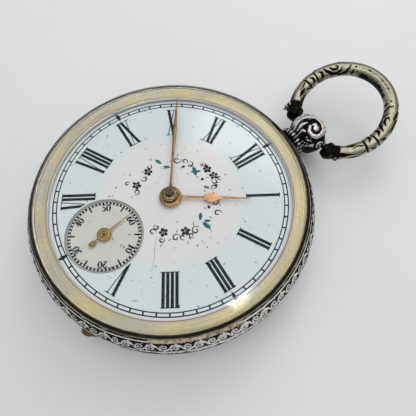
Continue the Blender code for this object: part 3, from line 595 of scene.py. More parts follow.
# the thumb lip's dark brown is partly tarnish and partly painted shade
LIP_TARNISH_AND_SHADE = gilt("lip_tarnish_and_shade", (0.12, 0.075, 0.04), 0.35, (0.02, 0.014, 0.01))
DARK_STEEL = plain_metal("dark_steel", (0.07, 0.065, 0.06), 0.2)
CAP_GILT = gilt("cap_gilt", (0.95, 0.88, 0.64), 0.42, (0.45, 0.33, 0.16))
DIAL_ENAMEL = enamel("dial_enamel", (0.69, 0.685, 0.67), (0.61, 0.69, 0.685), (0.64, 0.68, 0.71), 11.4, 19.0)
SECONDS_ENAMEL = enamel("seconds_enamel", (0.57, 0.57, 0.52), (0.56, 0.56, 0.51), (0.56, 0.56, 0.51), 3.0,
                        99.0)
BLACK_INK = ink("black_ink", (0.008, 0.014, 0.018))
GREY_INK = ink("grey_ink", (0.10, 0.11, 0.12))
WEAR_INK = ink("wear_ink", (0.08, 0.09, 0.08))
MAROON_INK = ink("maroon_ink", (0.028, 0.006, 0.010))
TEAL_INK = ink("teal_ink", (0.008, 0.15, 0.16))
HAND_GOLD = gilt("hand_gold", (0.23, 0.135, 0.055), 0.28, (0.07, 0.035, 0.016))
PEAR_GOLD = pear_hand("pear_gold")
HUB_GOLD = turned_hub("hub_gold")
SECONDS_GOLD = gilt("seconds_gold", (0.24, 0.17, 0.045), 0.25, (0.07, 0.045, 0.014))
MOVEMENT_GILT = gilt("movement_gilt", (0.80, 0.62, 0.32), 0.34, (0.62, 0.44, 0.20))
STEEL = plain_metal("polished_steel", (0.55, 0.56, 0.58), 0.18)
BLUED = plain_metal("blued_steel", (0.03, 0.05, 0.22), 0.2)
GLASS = glass("watch_glass")

SLOT_LOOKS = {
    "silver_case": SILVER, "silver_engraved": SILVER, "silver_oxidised": SILVER,
    "champagne": CHAMPAGNE, "crystal_glass": GLASS, "enamel": DIAL_ENAMEL, "gold_hand": HAND_GOLD,
    "gilt_brass": MOVEMENT_GILT, "polished_steel": STEEL, "blued_steel": BLUED,
}


def dress_nodes():
    """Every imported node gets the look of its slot, and three of them a look of their own."""
    for row in frame["record"]["subparts"]:
        node = frame["nodes"][row["node"]]
        node.data.materials.clear()
        node.data.materials.append(SLOT_LOOKS[row["material_slot"]])
        node.data.shade_smooth()
        node.data.set_sharp_from_angle(angle=math.radians(35.0))
    for name, look in (("seconds_dial", SECONDS_ENAMEL), ("setting_arbor", DARK_STEEL),
                       ("fourth_pinion", DARK_STEEL)):
        frame["nodes"][name].data.materials[0] = look


# ---- hinges ----
KNUCKLE_R = 0.42


def hinge_place(joint, part):
    """Puts a part made with X outward, Y along the pin and Z up, at a hinge's place."""
    at = joint_mm(joint)
    outward = Vector((at.x, at.y, 0.0)).normalized()
    along = Vector((0.0, 0.0, 1.0)).cross(outward)
    turn = Matrix((outward, along, (0.0, 0.0, 1.0))).transposed().to_4x4()
    return moved(part, Matrix.Translation(at) @ turn)


def hinge_knuckle(joint, half):
    """The round barrel over a hinge's pin, reaching half to each side of the joint."""
    return hinge_place(joint, tube([(0, -half, 0), (0, half, 0)], (KNUCKLE_R, KNUCKLE_R), 20))


# ---- case ----
BAND_PROFILE = [(22.42, 9.98), (22.62, 9.55), (22.95, 8.95), (23.23, 8.2), (23.4, 7.6), (23.45, 7.3),
                (23.3, 7.05), (23.25, 5.3), (23.27, 3.75), (23.4, 3.55), (23.4, 3.32)]
BAND_REF_R = 23.0
HINGE_POCKETS = ((290.0, 1.62, 8.55, 12.0), (332.0, 4.3, 2.0, 3.95))  # azimuth, half width, z range
# painted highlights on the band: azimuth and amount of each
BAND_PAINTED_HIGHLIGHTS = ((96.0, 0.36), (222.0, 0.2))  # azimuth, amount
BEZEL_LIP = (92.5, 127.5)
THUMB_LIP = 152.0


def scroll(canvas, u, v, pitch, height, flip):
    """One lobe of the running foliage: a wave of the stem, the spiral inside it, leaves on its back."""
    rise = 0.5 * height
    eye = (u + 0.06 * pitch * (rng.random() - 0.5), v + 0.14 * flip * rise)
    stem = []
    for t in np.linspace(0.0, math.pi, 9):
        stem.append((u - 0.5 * pitch * math.cos(t), v - 0.62 * flip * rise * math.sin(t)))
    canvas.stroke(stem, (0.1 * rise, 0.14 * rise, 0.1 * rise))
    canvas.stroke(curl(eye, 0.52 * rise, -90.0 * flip - 50.0, 1.15 * flip, 0.25),
                  (0.13 * rise, 0.1 * rise, 0.15 * rise))
    for share, heading, length in ((-0.42, 55.0, 0.62), (-0.05, 95.0, 0.4), (0.4, 130.0, 0.55)):
        root = (u + share * pitch, v - 0.62 * flip * rise * math.cos(math.pi * share))
        tip = heading + 24.0 * (rng.random() - 0.5)
        canvas.leaf(root, -flip * tip, length * rise, 45.0 * flip, 0.16 * rise)
    canvas.leaf((u + 0.5 * pitch, v), 90.0 * flip + 30.0, 0.95 * rise, -60.0 * flip, 0.16 * rise)
    for _ in range(3):
        canvas.stamp(u + pitch * (rng.random() - 0.5), v + flip * rise * (0.65 + 0.3 * rng.random()),
                     (0.07 + 0.06 * rng.random()) * rise, 0.9)


def case_band():
    """The engraved shell over the middle of the case: two carved friezes between beads."""
    run = travelled(BAND_PROFILE)
    around = 2.0 * math.pi * BAND_REF_R
    canvas = Relief(around, run[-1], 0.08)
    waist = run[5]
    canvas.line(0.2, 0.2)
    canvas.line(waist, 0.2)
    canvas.line(waist + 0.42, 0.09, 0.8)
    canvas.line(run[-1] - 0.12, 0.2)
    for units, low, high in ((84, 0.42, waist - 0.2), (60, waist + 0.54, run[-1] - 0.34)):
        pitch = around / units
        for i in range(units):
            flip = 1.0 if i % 2 else -1.0
            scroll(canvas, pitch * (i + 0.5), 0.5 * (low + high), pitch, high - low, flip)
    # the carved face comes first, then six rows of the shell's inside back to its start
    radius, height, normal = profile_rows(BAND_PROFILE, canvas.rows, -1.0)
    inner = np.full((6, canvas.columns), -0.22)
    back = np.linspace(canvas.rows - 1, 0, 6).round().astype(int)
    order = np.concatenate([np.arange(canvas.rows), back])
    offset = np.concatenate([0.02 + 0.16 * canvas.map, inner])
    r = radius[order][:, None] + normal[order, 0][:, None] * offset
    z = height[order][:, None] + normal[order, 1][:, None] * offset
    azimuth = np.arange(canvas.columns) * canvas.du / BAND_REF_R
    # cut back round the hinge knuckles
    for middle, half, low, high in HINGE_POCKETS:
        away = np.abs((azimuth - math.radians(middle) + math.pi) % (2.0 * math.pi) - math.pi)
        inside = (away[None, :] * BAND_REF_R < half) & (z > low) & (z < high)
        r = np.where(inside, r - 1.15, r)
    points = around_z(r, azimuth, z).reshape(-1, 3)
    # the relief as the look sees it: painted highlight at two places, and painted shade on the far part of
    # the top bead
    painted_highlight = sum(amount * hill(np.degrees(azimuth), middle, 26.0) for middle, amount in BAND_PAINTED_HIGHLIGHTS)
    # painted shade: the top bead is brightest towards azimuth 140 and dark on the far side
    bright_share = np.clip(0.1 + 1.7 * (0.5 + 0.5 * np.cos(azimuth - math.radians(140.0))), 0.0, 1.0)
    top_bead = np.arange(canvas.rows) * canvas.dv < 0.5
    shade = np.where(top_bead[:, None], bright_share[None, :], 1.0)
    relief = np.concatenate([canvas.map * shade + painted_highlight, np.zeros_like(inner)]).ravel()
    faces = grid_faces(len(order), canvas.columns, wrap_rows=True)
    make("band_engraving", [(points, faces)], ENGRAVED, "case", relief=relief,
         sharp=180.0, merge=False)


def bezel():
    """The polished bezel with its lip and hinge knuckle, the champagne ring and the glass."""
    frame_ring = lathe([(21.86, 10.60), (21.93, 10.63), (22.03, 10.6), (22.2, 10.47), (22.33, 10.25),
                        (22.38, 10.04), (21.86, 10.03)])
    first, last = BEZEL_LIP
    lip = arc(22.78, first, last, 40) + arc(22.1, last, first, 40)
    parts = [frame_ring, hinge_knuckle("bezel_hinge", 1.5),
             hinge_place("bezel_hinge", block((-0.28, -1.5, 0.0), (0.1, 1.5, 1.1)))]
    make("bezel_polished", parts, BEZEL_SILVER, "bezel_body", ["bezel"])
    make("bezel_lip", [prism(lip, 10.07, 10.24)], LIP_WARM_PALE, "bezel_body")
    ring = lathe([(21.85, 10.40), (21.85, 10.06), (20.9, 10.03), (20.66, 9.5), (19.66, 9.35),
                  (19.64, 9.88), (19.70, 9.93), (20.3, 10.02), (21.18, 10.16), (21.7, 10.34)])
    make("rehaut_brushed", [ring], CHAMPAGNE, "bezel_body", ["rehaut"], sharp=20.0)
    top = [(0.0, 12.4), (6.0, 12.37), (11.0, 12.25), (15.0, 12.07), (18.0, 11.84), (20.2, 11.56),
           (21.2, 11.3), (21.7, 10.95), (21.83, 10.62), (21.84, 10.44)]
    under = [(21.3, 10.44), (21.1, 10.75), (20.4, 11.05), (18.0, 11.3), (14.0, 11.55), (8.0, 11.74),
             (0.0, 11.8)]
    crystal = make("crystal_glass", [lathe(top + under, closed=False)], GLASS, "bezel_body",
                   ["crystal"])
    crystal.visible_shadow = False
    crystal.visible_diffuse = False


def back_cover():
    """The domed back with its thumb lip and hinge knuckle."""
    outside = [(23.38, 3.24), (23.5, 3.16), (23.48, 2.95), (23.2, 2.45), (22.7, 1.95), (21.9, 1.56),
               (20.4, 1.03), (17.5, 0.55), (15.2, 0.29), (13.0, 0.12), (11.0, 0.03), (9.0, 0.0), (0.0, 0.0)]
    inside = [(0.0, 0.6), (10.0, 0.62), (17.5, 1.1), (21.2, 1.8), (22.5, 2.7), (22.7, 3.24)]
    tongue = [(23.0, -2.0), (23.9, -1.95), (24.35, -1.6), (24.45, -1.0), (24.3, -0.4), (23.9, 0.2),
              (23.5, 1.2), (23.3, 2.0), (23.0, 2.0)]
    turn = Matrix.Rotation(math.radians(90.0 - THUMB_LIP), 4, "Z")
    # dark brown lip: partly tarnish, partly painted shade
    make("thumb_lip", [moved(prism(tongue, 2.75, 3.13), turn)], LIP_TARNISH_AND_SHADE, "back_body")
    parts = [lathe(inside + outside, closed=False), hinge_knuckle("back_hinge", 2.0),
             hinge_place("back_hinge", block((-0.6, -2.0, -0.65), (0.0, 2.0, -0.15)))]
    make("back_cover_polished", parts, BACK_SILVER, "back_body", ["back_cover"])


# ---- pendant, collar, cap, bow ----
def petals(turn, count, sharpness):
    """From 0 between petals to 1 on their middles, at each angle of a turn."""
    return np.abs(np.cos(0.5 * count * turn)) ** sharpness


def about_pendant(part):
    """Turns a part made about Z so that it lies along Y at the pendant's height, z becoming y."""
    points, faces = part
    turned = np.stack([points[:, 0], points[:, 2], PENDANT_Z + points[:, 1]], axis=1)
    return turned, faces


def relief_lathe(profile, canvas, depth, reference_r):
    """A turned surface lifted by a relief; the profile runs from one axis point to the other."""
    radius, height, normal = profile_rows(profile, canvas.rows, 1.0)
    r = np.maximum(radius[:, None] + normal[:, 0][:, None] * depth * canvas.map, 0.0)
    z = height[:, None] + normal[:, 1][:, None] * depth * canvas.map
    r[0, :], r[-1, :] = 0.0, 0.0
    turn = np.arange(canvas.columns) * canvas.du / reference_r
    points = around_z(r, turn, z).reshape(-1, 3)
    return (points, grid_faces(canvas.rows, canvas.columns)), canvas.map.ravel()


KNOB = [(0.0, 23.2), (2.3, 23.2), (2.3, 24.0), (1.75, 24.15), (1.75, 25.7), (1.95, 25.85), (2.05, 26.2),
        (2.7, 26.75), (3.2, 27.3), (3.5, 28.0), (3.6, 28.8), (3.5, 29.6), (3.15, 30.2), (2.5, 30.65),
        (1.3, 30.9), (1.1, 31.1), (0.0, 31.2)]
KNOB_REF_R = 3.6
KNOB_SHANK = 4  # rows of KNOB before the carved part


def knob():
    """The ball of the pendant, carved alike on its front and its back."""
    profile = np.array(KNOB)
    run = travelled(profile)
    canvas = Relief(2.0 * math.pi * KNOB_REF_R, run[-1], 0.06)

    def v(y):
        return float(np.interp(y, profile[KNOB_SHANK:, 1], run[KNOB_SHANK:]))

    half_turn = math.pi * KNOB_REF_R
    for side in (0.0, half_turn):
        def ridge(points, radii, height=1.0, groove=False):
            canvas.stroke([(side + u, v(y)) for u, y in points], radii, height, groove)

        ridge([(-1.9, 26.2), (-1.9, 27.5), (-1.2, 28.9), (-0.3, 29.9), (0.8, 30.35), (2.0, 30.1),
               (2.85, 29.3), (2.9, 28.3), (2.3, 27.6), (1.3, 27.45), (0.6, 28.0)],
              (0.3, 0.5, 0.55, 0.5, 0.48, 0.42, 0.3))
        ridge([(-1.6, 26.6), (-1.5, 27.6), (-0.8, 28.9), (0.2, 29.8), (1.2, 30.0), (2.2, 29.5)],
              (0.06, 0.1, 0.1, 0.08), groove=True)
        canvas.stamp(side + 1.45, v(28.75), 0.62)
        ridge([(1.45, 28.75), (0.8, 29.0), (0.6, 28.5)], (0.5, 0.3, 0.2))
        ridge([(-0.7, 26.3), (-0.75, 27.2), (-0.3, 28.0)], (0.25, 0.48, 0.15), 0.85)
        ridge([(0.35, 26.1), (0.3, 26.8), (0.9, 27.0)], (0.2, 0.4, 0.2), 0.8)
        ridge([(-2.9, 26.5), (-2.9, 27.6), (-2.3, 28.6)], (0.2, 0.42, 0.1), 0.8)
        for _ in range(26):
            canvas.stamp(side + 1.9 + 3.0 * rng.random(), v(26.0 + 1.5 * rng.random()),
                         0.12 + 0.12 * rng.random(), 0.7)
        for quarter in (0.3, 0.72):
            middle = side + half_turn * (quarter + 0.12)
            canvas.stroke(curl((middle, v(28.4)), 0.7, 90.0, 1.3), (0.24, 0.14), 0.85)
            canvas.leaf((middle - 0.5, v(26.6)), 80.0, 1.2, 50.0, 0.34, 0.75)
            canvas.leaf((middle + 0.5, v(29.3)), 100.0, 1.1, -60.0, 0.3, 0.75)
    part, relief = relief_lathe(KNOB, canvas, 0.3, KNOB_REF_R)
    make("pendant_carved", [about_pendant(part)], PENDANT_SILVER, "case",
         ["pendant"], relief=relief, sharp=180.0)


def collar():
    """The collar under the ball: slanting ribs like a rope."""
    ribs = 26
    steps, rows = ribs * 8, 16
    turn = full_turn(steps)
    share = np.linspace(0.0, 1.0, rows)
    swell = np.sin(math.pi * share)[:, None]
    rope = np.abs(np.cos(0.5 * ribs * turn[None, :] + 1.3 * (share[:, None] - 0.5))) ** 0.7
    radius = 2.2 + 0.4 * swell ** 0.6 + 0.35 * swell ** 0.7 * rope
    outside = around_z(radius, turn, 24.1 + 1.65 * share[:, None])
    bore = [around_z(1.6, turn, y) for y in (25.75, 24.1)]
    points = np.concatenate([outside, bore]).reshape(-1, 3)
    relief = np.concatenate([(0.62 * swell ** 0.5 * rope).ravel(), np.zeros(2 * steps)])
    part = (points, grid_faces(rows + 2, steps, wrap_rows=True))
    make("collar_rope", [about_pendant(part)], PENDANT_SILVER, "case",
         ["pendant_collar"], relief=relief, sharp=60.0)


def cap():
    """The scalloped rosette at the tip of the pendant."""
    lobes, steps = 10, 160
    turn = full_turn(steps)
    petal = petals(turn, lobes, 0.5)
    rings = []
    for outer, y in ((0.85, 31.15), (0.95, 31.3), (1.0, 31.5), (0.9, 31.72), (0.62, 31.82), (0.5, 31.75),
                     (0.4, 31.95), (0.15, 32.0)):
        scallop = 1.0 if outer < 0.6 else 0.78 + 0.22 * petal
        rings.append(around_z(1.95 * outer * scallop, turn, y))
    make("cap_rosette", [about_pendant(loft(rings))], CAP_GILT, "case", ["pendant_cap"])


def screw_heads():
    """The ends of the bow's screws: a fan of petals on the left, a ball on the right."""
    steps = 96
    turn = full_turn(steps)
    petal = petals(turn, 7, 0.6)
    rings = []
    for radius, x, depth in ((0.58, 3.3, 0.0), (0.58, 6.0, 0.0), (0.75, 6.05, 0.1), (0.8, 6.4, 0.25),
                             (1.15, 6.9, 0.45), (1.2, 7.15, 0.5), (0.85, 7.2, 0.5), (0.4, 6.8, 0.2)):
        y, z, _ = around_z(radius * (1.0 - depth * (1.0 - petal)), turn, 0.0).T
        rings.append(np.stack([np.full(steps, -x), BOW_PIVOT.y + y, PENDANT_Z + z], axis=1))
    part = loft(rings)
    relief = np.repeat([0.0, 0.0, 0.2, 0.5, 1.0, 1.0, 0.9, 0.2], steps) * np.tile(0.3 + 0.7 * petal, 8)
    make("screw_fan_left", [part], BOW_SILVER, "case", ["bow_screw_left"],
         relief=relief, sharp=50.0)
    ends = [(3.3, 0.58), (6.0, 0.58), (6.05, 0.9), (6.2, 0.95), (6.35, 0.8), (6.4, 0.4)]
    for angle in np.radians(np.linspace(-60.0, 88.0, 9)):  # the ball
        ends.append((6.85 + 0.5 * math.sin(angle), 0.5 * math.cos(angle)))
    part = tube([(x, BOW_PIVOT.y, PENDANT_Z) for x, _ in ends], [radius for _, radius in ends], 32)
    relief = np.full(len(part[0]), 0.55)
    make("screw_ball_right", [part], BOW_SILVER, "case", ["bow_screw_right"],
         relief=relief, sharp=50.0)


def bow_ornament(canvas, v):
    """The chasing of one end of the bow; v(s) is the row of a place s mm from the pivot."""
    around = canvas.columns * canvas.du

    def cut(points, radii):
        canvas.stroke([(u + du, v(s)) for du, s in points], radii, groove=True)

    for third in range(3):
        u = around * third / 3.0
        # split leaf
        cut([(0.0, 3.2), (0.0, 5.0)], (0.2, 0.42, 0.12))
        cut([(0.9, 2.4), (0.85, 4.2)], (0.55, 0.3, 0.1))
        cut([(-0.75, 5.9), (-0.45, 5.0), (-0.7, 4.2)], (0.16, 0.13, 0.05))
        cut([(0.75, 5.9), (0.45, 5.0), (0.7, 4.2)], (0.16, 0.13, 0.05))
        # crescent between the bulbs
        cut([(-0.8, 7.0), (-0.3, 7.55), (0.4, 7.5), (0.85, 6.9)], (0.05, 0.26, 0.28, 0.06))
        cut([(-0.9, 8.9), (-0.3, 9.6), (0.6, 9.5), (1.1, 8.8)], (0.05, 0.28, 0.3, 0.06))
        # scrolling leaf
        cut([(-0.9, 10.1), (-0.1, 10.5), (0.6, 11.4), (0.75, 12.4), (0.3, 13.3), (-0.4, 13.6)],
            (0.08, 0.3, 0.36, 0.3, 0.22, 0.06))
        cut([(-0.6, 11.2), (-0.05, 11.8), (0.0, 12.5), (-0.45, 12.8), (-0.8, 12.3)], (0.12, 0.26, 0.2, 0.08))
        cut([(1.15, 12.9), (0.7, 14.3), (-0.2, 15.0), (-1.0, 15.1)], (0.28, 0.3, 0.2, 0.05))
        cut([(0.2, 15.9), (1.1, 15.3)], (0.16, 0.26, 0.05))
        canvas.stamp(u - 0.5, v(16.1), 0.2, groove=True)
        canvas.stamp(u + 0.35, v(16.6), 0.17, groove=True)
    for s, radius in ((6.3, 0.2), (8.3, 0.17)):
        canvas.line(v(s), radius, 0.8, groove=True)


# distances run from the end of the ring; a bulge has its distance, height and width
BOW_DARK_TO, BOW_CHASED_TO = 1.4, 16.8
BOW_BULGES = ((7.1, 0.10, 0.55), (8.9, 0.08, 0.5), (12.0, 0.06, 1.6), (3.0, -0.05, 1.5))
EYE_PROFILE = ((4.2, 1.2), (4.3, 1.45), (4.6, 1.55), (4.75, 1.42), (4.9, 1.58), (5.3, 1.6), (5.6, 1.5),
               (5.75, 1.3), (5.95, 1.2))  # along the pivot, radius


def bow():
    """The cast bow: a ring with chased ends, plain and fluted at its far side."""
    end = math.asin(BOW_DROP / BOW_RING_R)
    sweep = math.pi + 2.0 * end
    length = sweep * BOW_RING_R
    around = 2.0 * math.pi * BOW_WIRE_R
    canvas = Relief(around, length, 0.055, base=1.0)
    bow_ornament(canvas, lambda s: s)
    bow_ornament(canvas, lambda s: length - s)
    phi = full_turn(canvas.columns)
    flute = np.cos(2.0 * phi) ** 10
    s = np.arange(canvas.rows) * canvas.dv
    from_end = np.minimum(s, length - s)
    plain = np.clip(from_end - BOW_CHASED_TO, 0.0, 1.0)
    canvas.map *= 1.0 - 0.35 * plain[:, None] * flute[None, :]
    bright_share = np.clip(from_end - BOW_DARK_TO, 0.0, 1.0)[:, None]
    # painted shade: the inside of the ring, facing its middle, is darkened, more so on the plain part
    inner_painted_shade = hill(phi, math.pi, 0.85)[None, :]
    relief = canvas.map * bright_share - 0.8 * inner_painted_shade * (0.35 + 0.65 * plain[:, None])
    bulge = sum(height * hill(from_end, middle, width) for middle, height, width in BOW_BULGES)
    radius = BOW_WIRE_R - 0.16 + 0.16 * canvas.map + bulge[:, None]
    theta = -end + s / BOW_RING_R
    out = np.stack([np.cos(theta), np.sin(theta)], axis=1)
    flat = BOW_RING_R + radius * np.cos(phi)[None, :]
    x = flat * out[:, 0:1]
    y = flat * out[:, 1:2] + BOW_DROP
    z = radius * np.sin(phi)[None, :]
    place = Matrix.Translation(BOW_PIVOT) @ Matrix.Rotation(BOW_TILT, 4, "X")
    parts = [moved(loft(np.stack([x, y, z], axis=-1)), place)]
    values = [relief.ravel()]
    for side in (-1.0, 1.0):
        path = [(side * x, 0.0, 0.0) for x, _ in EYE_PROFILE]
        eye = moved(tube(path, [radius for _, radius in EYE_PROFILE], 40), place)
        parts.append(eye)
        values.append(np.tile(0.35, len(eye[0])))
    make("bow_chased", parts, BOW_SILVER, "bow_body", ["bow"],
         relief=np.concatenate(values), sharp=180.0)


# ---- dial printing ----
PRINT_LOW, PRINT_HIGH = -0.01, 0.012


class Printing:
    """Flat painted marks on the enamel, as thin prisms."""

    def __init__(self, level):
        self.low, self.high = level + PRINT_LOW, level + PRINT_HIGH
        self.parts = []

    def polygon(self, outline):
        self.parts.append(prism(outline, self.low, self.high))

    def ring(self, inner, outer, centre=(0.0, 0.0), steps=180):
        profile = [(outer, self.high), (outer, self.low), (inner, self.low), (inner, self.high)]
        self.parts.append(shifted(lathe(profile, steps), centre[0], centre[1], 0.0))

    def stroke(self, points, widths):
        """A line through points whose width goes through the widths."""
        points = np.array(points, float)
        along = np.gradient(points, axis=0)
        along /= np.linalg.norm(along, axis=1)[:, None]
        normal = np.stack([-along[:, 1], along[:, 0]], axis=1)
        half = np.interp(np.linspace(0, 1, len(points)), np.linspace(0, 1, len(widths)), widths)[:, None] / 2
        left, right = points + normal * half, points - normal * half
        self.polygon([tuple(p) for p in left] + [tuple(p) for p in right[::-1]])

    def spot(self, centre, radius, stretch=1.0, heading=0.0, count=14):
        outline = []
        for angle in np.linspace(0.0, 2.0 * math.pi, count, endpoint=False):
            x, y = radius * stretch * math.cos(angle), radius * math.sin(angle)
            outline.append(spun(x, y, heading, centre))
        self.polygon(outline)

    def done(self, name, look):
        make(name, self.parts, look, "case", merge=False, sharp=60.0)


NUMERALS = {0: "XII", 1: "I", 2: "II", 3: "III", 4: "IIII", 5: "V", 7: "VII", 8: "VIII", 9: "IX",
            10: "X", 11: "XI"}
NUMERAL_IN, NUMERAL_OUT = 0.645 * TRACK_R, 0.933 * TRACK_R
BAR, HAIR = 0.5, 0.14
SECONDS_EDGE_R = 6.45  # the numerals stop here round the seconds dial
LETTERS = {  # width, strokes as (x, y) to (x, y) and thickness, places of the serifs
    "I": (0.68, [(0.34, 0.0, 0.34, 1.0, BAR)], [(0.34, 0.0), (0.34, 1.0)]),
    "V": (1.45, [(0.22, 1.0, 0.725, 0.0, BAR), (1.25, 1.0, 0.725, 0.0, HAIR)], [(0.25, 1.0), (1.25, 1.0)]),
    "X": (1.45, [(0.25, 1.0, 1.2, 0.0, BAR), (1.23, 1.0, 0.22, 0.0, HAIR)],
          [(0.25, 0.0), (0.25, 1.0), (1.23, 0.0), (1.23, 1.0)]),
}


def numeral_strokes(text):
    """Strokes of a Roman numeral and its width; y goes from 0 at its foot to 1."""
    strokes, x = [], 0.0
    for letter in text:
        step, bars, serifs = LETTERS[letter]
        strokes += [((x + x0, y0), (x + x1, y1), thick) for x0, y0, x1, y1, thick in bars]
        strokes += [((x + at - 0.42, y), (x + at + 0.42, y), HAIR) for at, y in serifs]
        x += step
    return strokes, x


def clipped(outline, centre, radius):
    """The part of an outline outside a circle, cut straight between the two crossings."""
    kept = []
    for (x0, y0), (x1, y1) in zip(outline, outline[1:] + outline[:1]):
        starts_in = math.dist((x0, y0), centre) < radius
        if not starts_in:
            kept.append((x0, y0))
        if starts_in != (math.dist((x1, y1), centre) < radius):
            along, away = np.array((x1 - x0, y1 - y0)), np.array((x0, y0)) - centre
            half = along @ away
            root = math.sqrt(half ** 2 - (along @ along) * (away @ away - radius ** 2))
            t = ((root if starts_in else -root) - half) / (along @ along)
            kept.append((x0 + (x1 - x0) * t, y0 + (y1 - y0) * t))
    return kept


def hour_numerals():
    """The Roman numerals, cut short where they meet the seconds dial; it takes the place of VI."""
    marks = Printing(DIAL_Z)
    height = NUMERAL_OUT - NUMERAL_IN
    for hour, text in NUMERALS.items():
        strokes, width = numeral_strokes(text)
        for (x0, y0), (x1, y1), thick in strokes:
            half = thick / 2.0
            if y0 != y1:
                outline = [(x0 - half, y0 * height), (x0 + half, y0 * height), (x1 + half, y1 * height),
                           (x1 - half, y1 * height)]
            else:
                low = y0 * height - (0.0 if y0 == 0 else HAIR)
                outline = [(x0, low), (x1, low), (x1, low + HAIR), (x0, low + HAIR)]
            placed = [facing_out(x - width / 2.0, NUMERAL_IN + y, 30.0 * hour) for x, y in outline]
            outline = clipped(placed, (SECONDS.x, SECONDS.y), SECONDS_EDGE_R)
            if len(outline) > 2:
                marks.polygon(outline)
    marks.done("hour_numerals", BLACK_INK)


def minute_track():
    """Two rings joined by a tick for each minute, with a diamond at each quarter."""
    marks = Printing(DIAL_Z)
    inner, outer = 0.969 * TRACK_R, TRACK_R
    marks.ring(outer - 0.1, outer + 0.1, steps=SMOOTH)
    marks.ring(inner - 0.1, inner + 0.08, steps=SMOOTH)
    for minute in range(60):
        azimuth = 6.0 * minute
        if minute % 15 == 0:
            diamond = [polar(outer + 0.78, azimuth), polar(outer + 0.05, azimuth + 1.15),
                       polar(inner - 0.5, azimuth), polar(outer + 0.05, azimuth - 1.15)]
            marks.polygon(diamond)
        else:
            marks.stroke([polar(inner, azimuth), polar(outer, azimuth)], (0.25, 0.25))
    marks.done("minute_track", BLACK_INK)


def half_ring(centre, radius_x, radius_y, start, stop, count=12):
    """Points on an ellipse from one angle to another, in degrees anticlockwise from +x."""
    points = []
    for angle in np.radians(np.linspace(start, stop, count)):
        points.append((centre[0] + radius_x * math.cos(angle), centre[1] + radius_y * math.sin(angle)))
    return points


THICK, THIN = 0.28, 0.11
DIGITS = {  # strokes in a box 0.6 wide and 1 high: points and widths
    "0": [(half_ring((0.3, 0.5), 0.24, 0.46, 90, 270), (THIN, THICK, THIN)),
          (half_ring((0.3, 0.5), 0.24, 0.46, -90, 90), (THIN, THICK, THIN))],
    "1": [([(0.32, 0.0), (0.32, 1.0)], (THICK, THICK)), ([(0.12, 0.78), (0.32, 0.97)], (THIN, THIN)),
          ([(0.12, 0.03), (0.52, 0.03)], (THIN, THIN))],
    "2": [(half_ring((0.3, 0.7), 0.22, 0.25, 170, -40), (THICK, THIN, THICK)),
          ([(0.47, 0.55), (0.08, 0.06)], (THICK, THIN)), ([(0.06, 0.07), (0.54, 0.07)], (0.14, 0.14))],
    "3": [(half_ring((0.28, 0.73), 0.2, 0.23, 150, -80), (THIN, THICK, THIN)),
          (half_ring((0.28, 0.27), 0.24, 0.25, 80, -150), (THIN, THICK, THIN))],
    "4": [([(0.42, 0.0), (0.42, 1.0)], (THICK, THICK)), ([(0.4, 0.98), (0.03, 0.3)], (THIN, THIN)),
          ([(0.02, 0.3), (0.58, 0.3)], (0.08, 0.08))],
    "5": [([(0.14, 0.93), (0.5, 0.93)], (0.14, 0.14)), ([(0.14, 0.95), (0.12, 0.55)], (THIN, THIN)),
          (half_ring((0.28, 0.3), 0.24, 0.28, 130, -150), (THIN, THICK, THIN))],
    "6": [(half_ring((0.3, 0.3), 0.22, 0.27, 0, 360, 20), (THICK, THIN, THICK, THIN, THICK)),
          (half_ring((0.52, 0.35), 0.44, 0.6, 95, 180), (THIN, THICK))],
}


def seconds_printing():
    """The seconds dial: a grey edge, a track with long ticks between the tens, and six numbers."""
    centre = (SECONDS.x, SECONDS.y)
    grey = Printing(SECONDS_Z)
    for radius in (0.3205, 0.3135):
        grey.ring(radius * TRACK_R - 0.03, radius * TRACK_R + 0.03, centre)
    grey.done("seconds_rings", GREY_INK)
    marks = Printing(SECONDS_Z)
    outer, inner = 0.306 * TRACK_R, 0.283 * TRACK_R
    marks.ring(outer - 0.04, outer + 0.04, centre)
    marks.ring(inner - 0.03, inner + 0.03, centre)
    for second in range(60):
        azimuth = 6.0 * second
        long_tick = second % 10 == 5
        start = inner - (0.75 if long_tick else 0.0)
        marks.stroke([polar(start, azimuth, centre), polar(outer, azimuth, centre)],
                     (0.24, 0.28) if long_tick else (0.3, 0.34))
    size = 1.1  # height of the digits
    for step, text in enumerate(("60", "10", "20", "30", "40", "50")):
        for place, digit in enumerate(text):
            for points, widths in DIGITS[digit]:
                placed = [facing_out((x + 0.68 * (place - 1)) * size, 0.221 * TRACK_R + y * size, 60.0 * step,
                                     centre) for x, y in points]
                marks.stroke(placed, scaled(size, widths))
    marks.done("seconds_track", BLACK_INK)


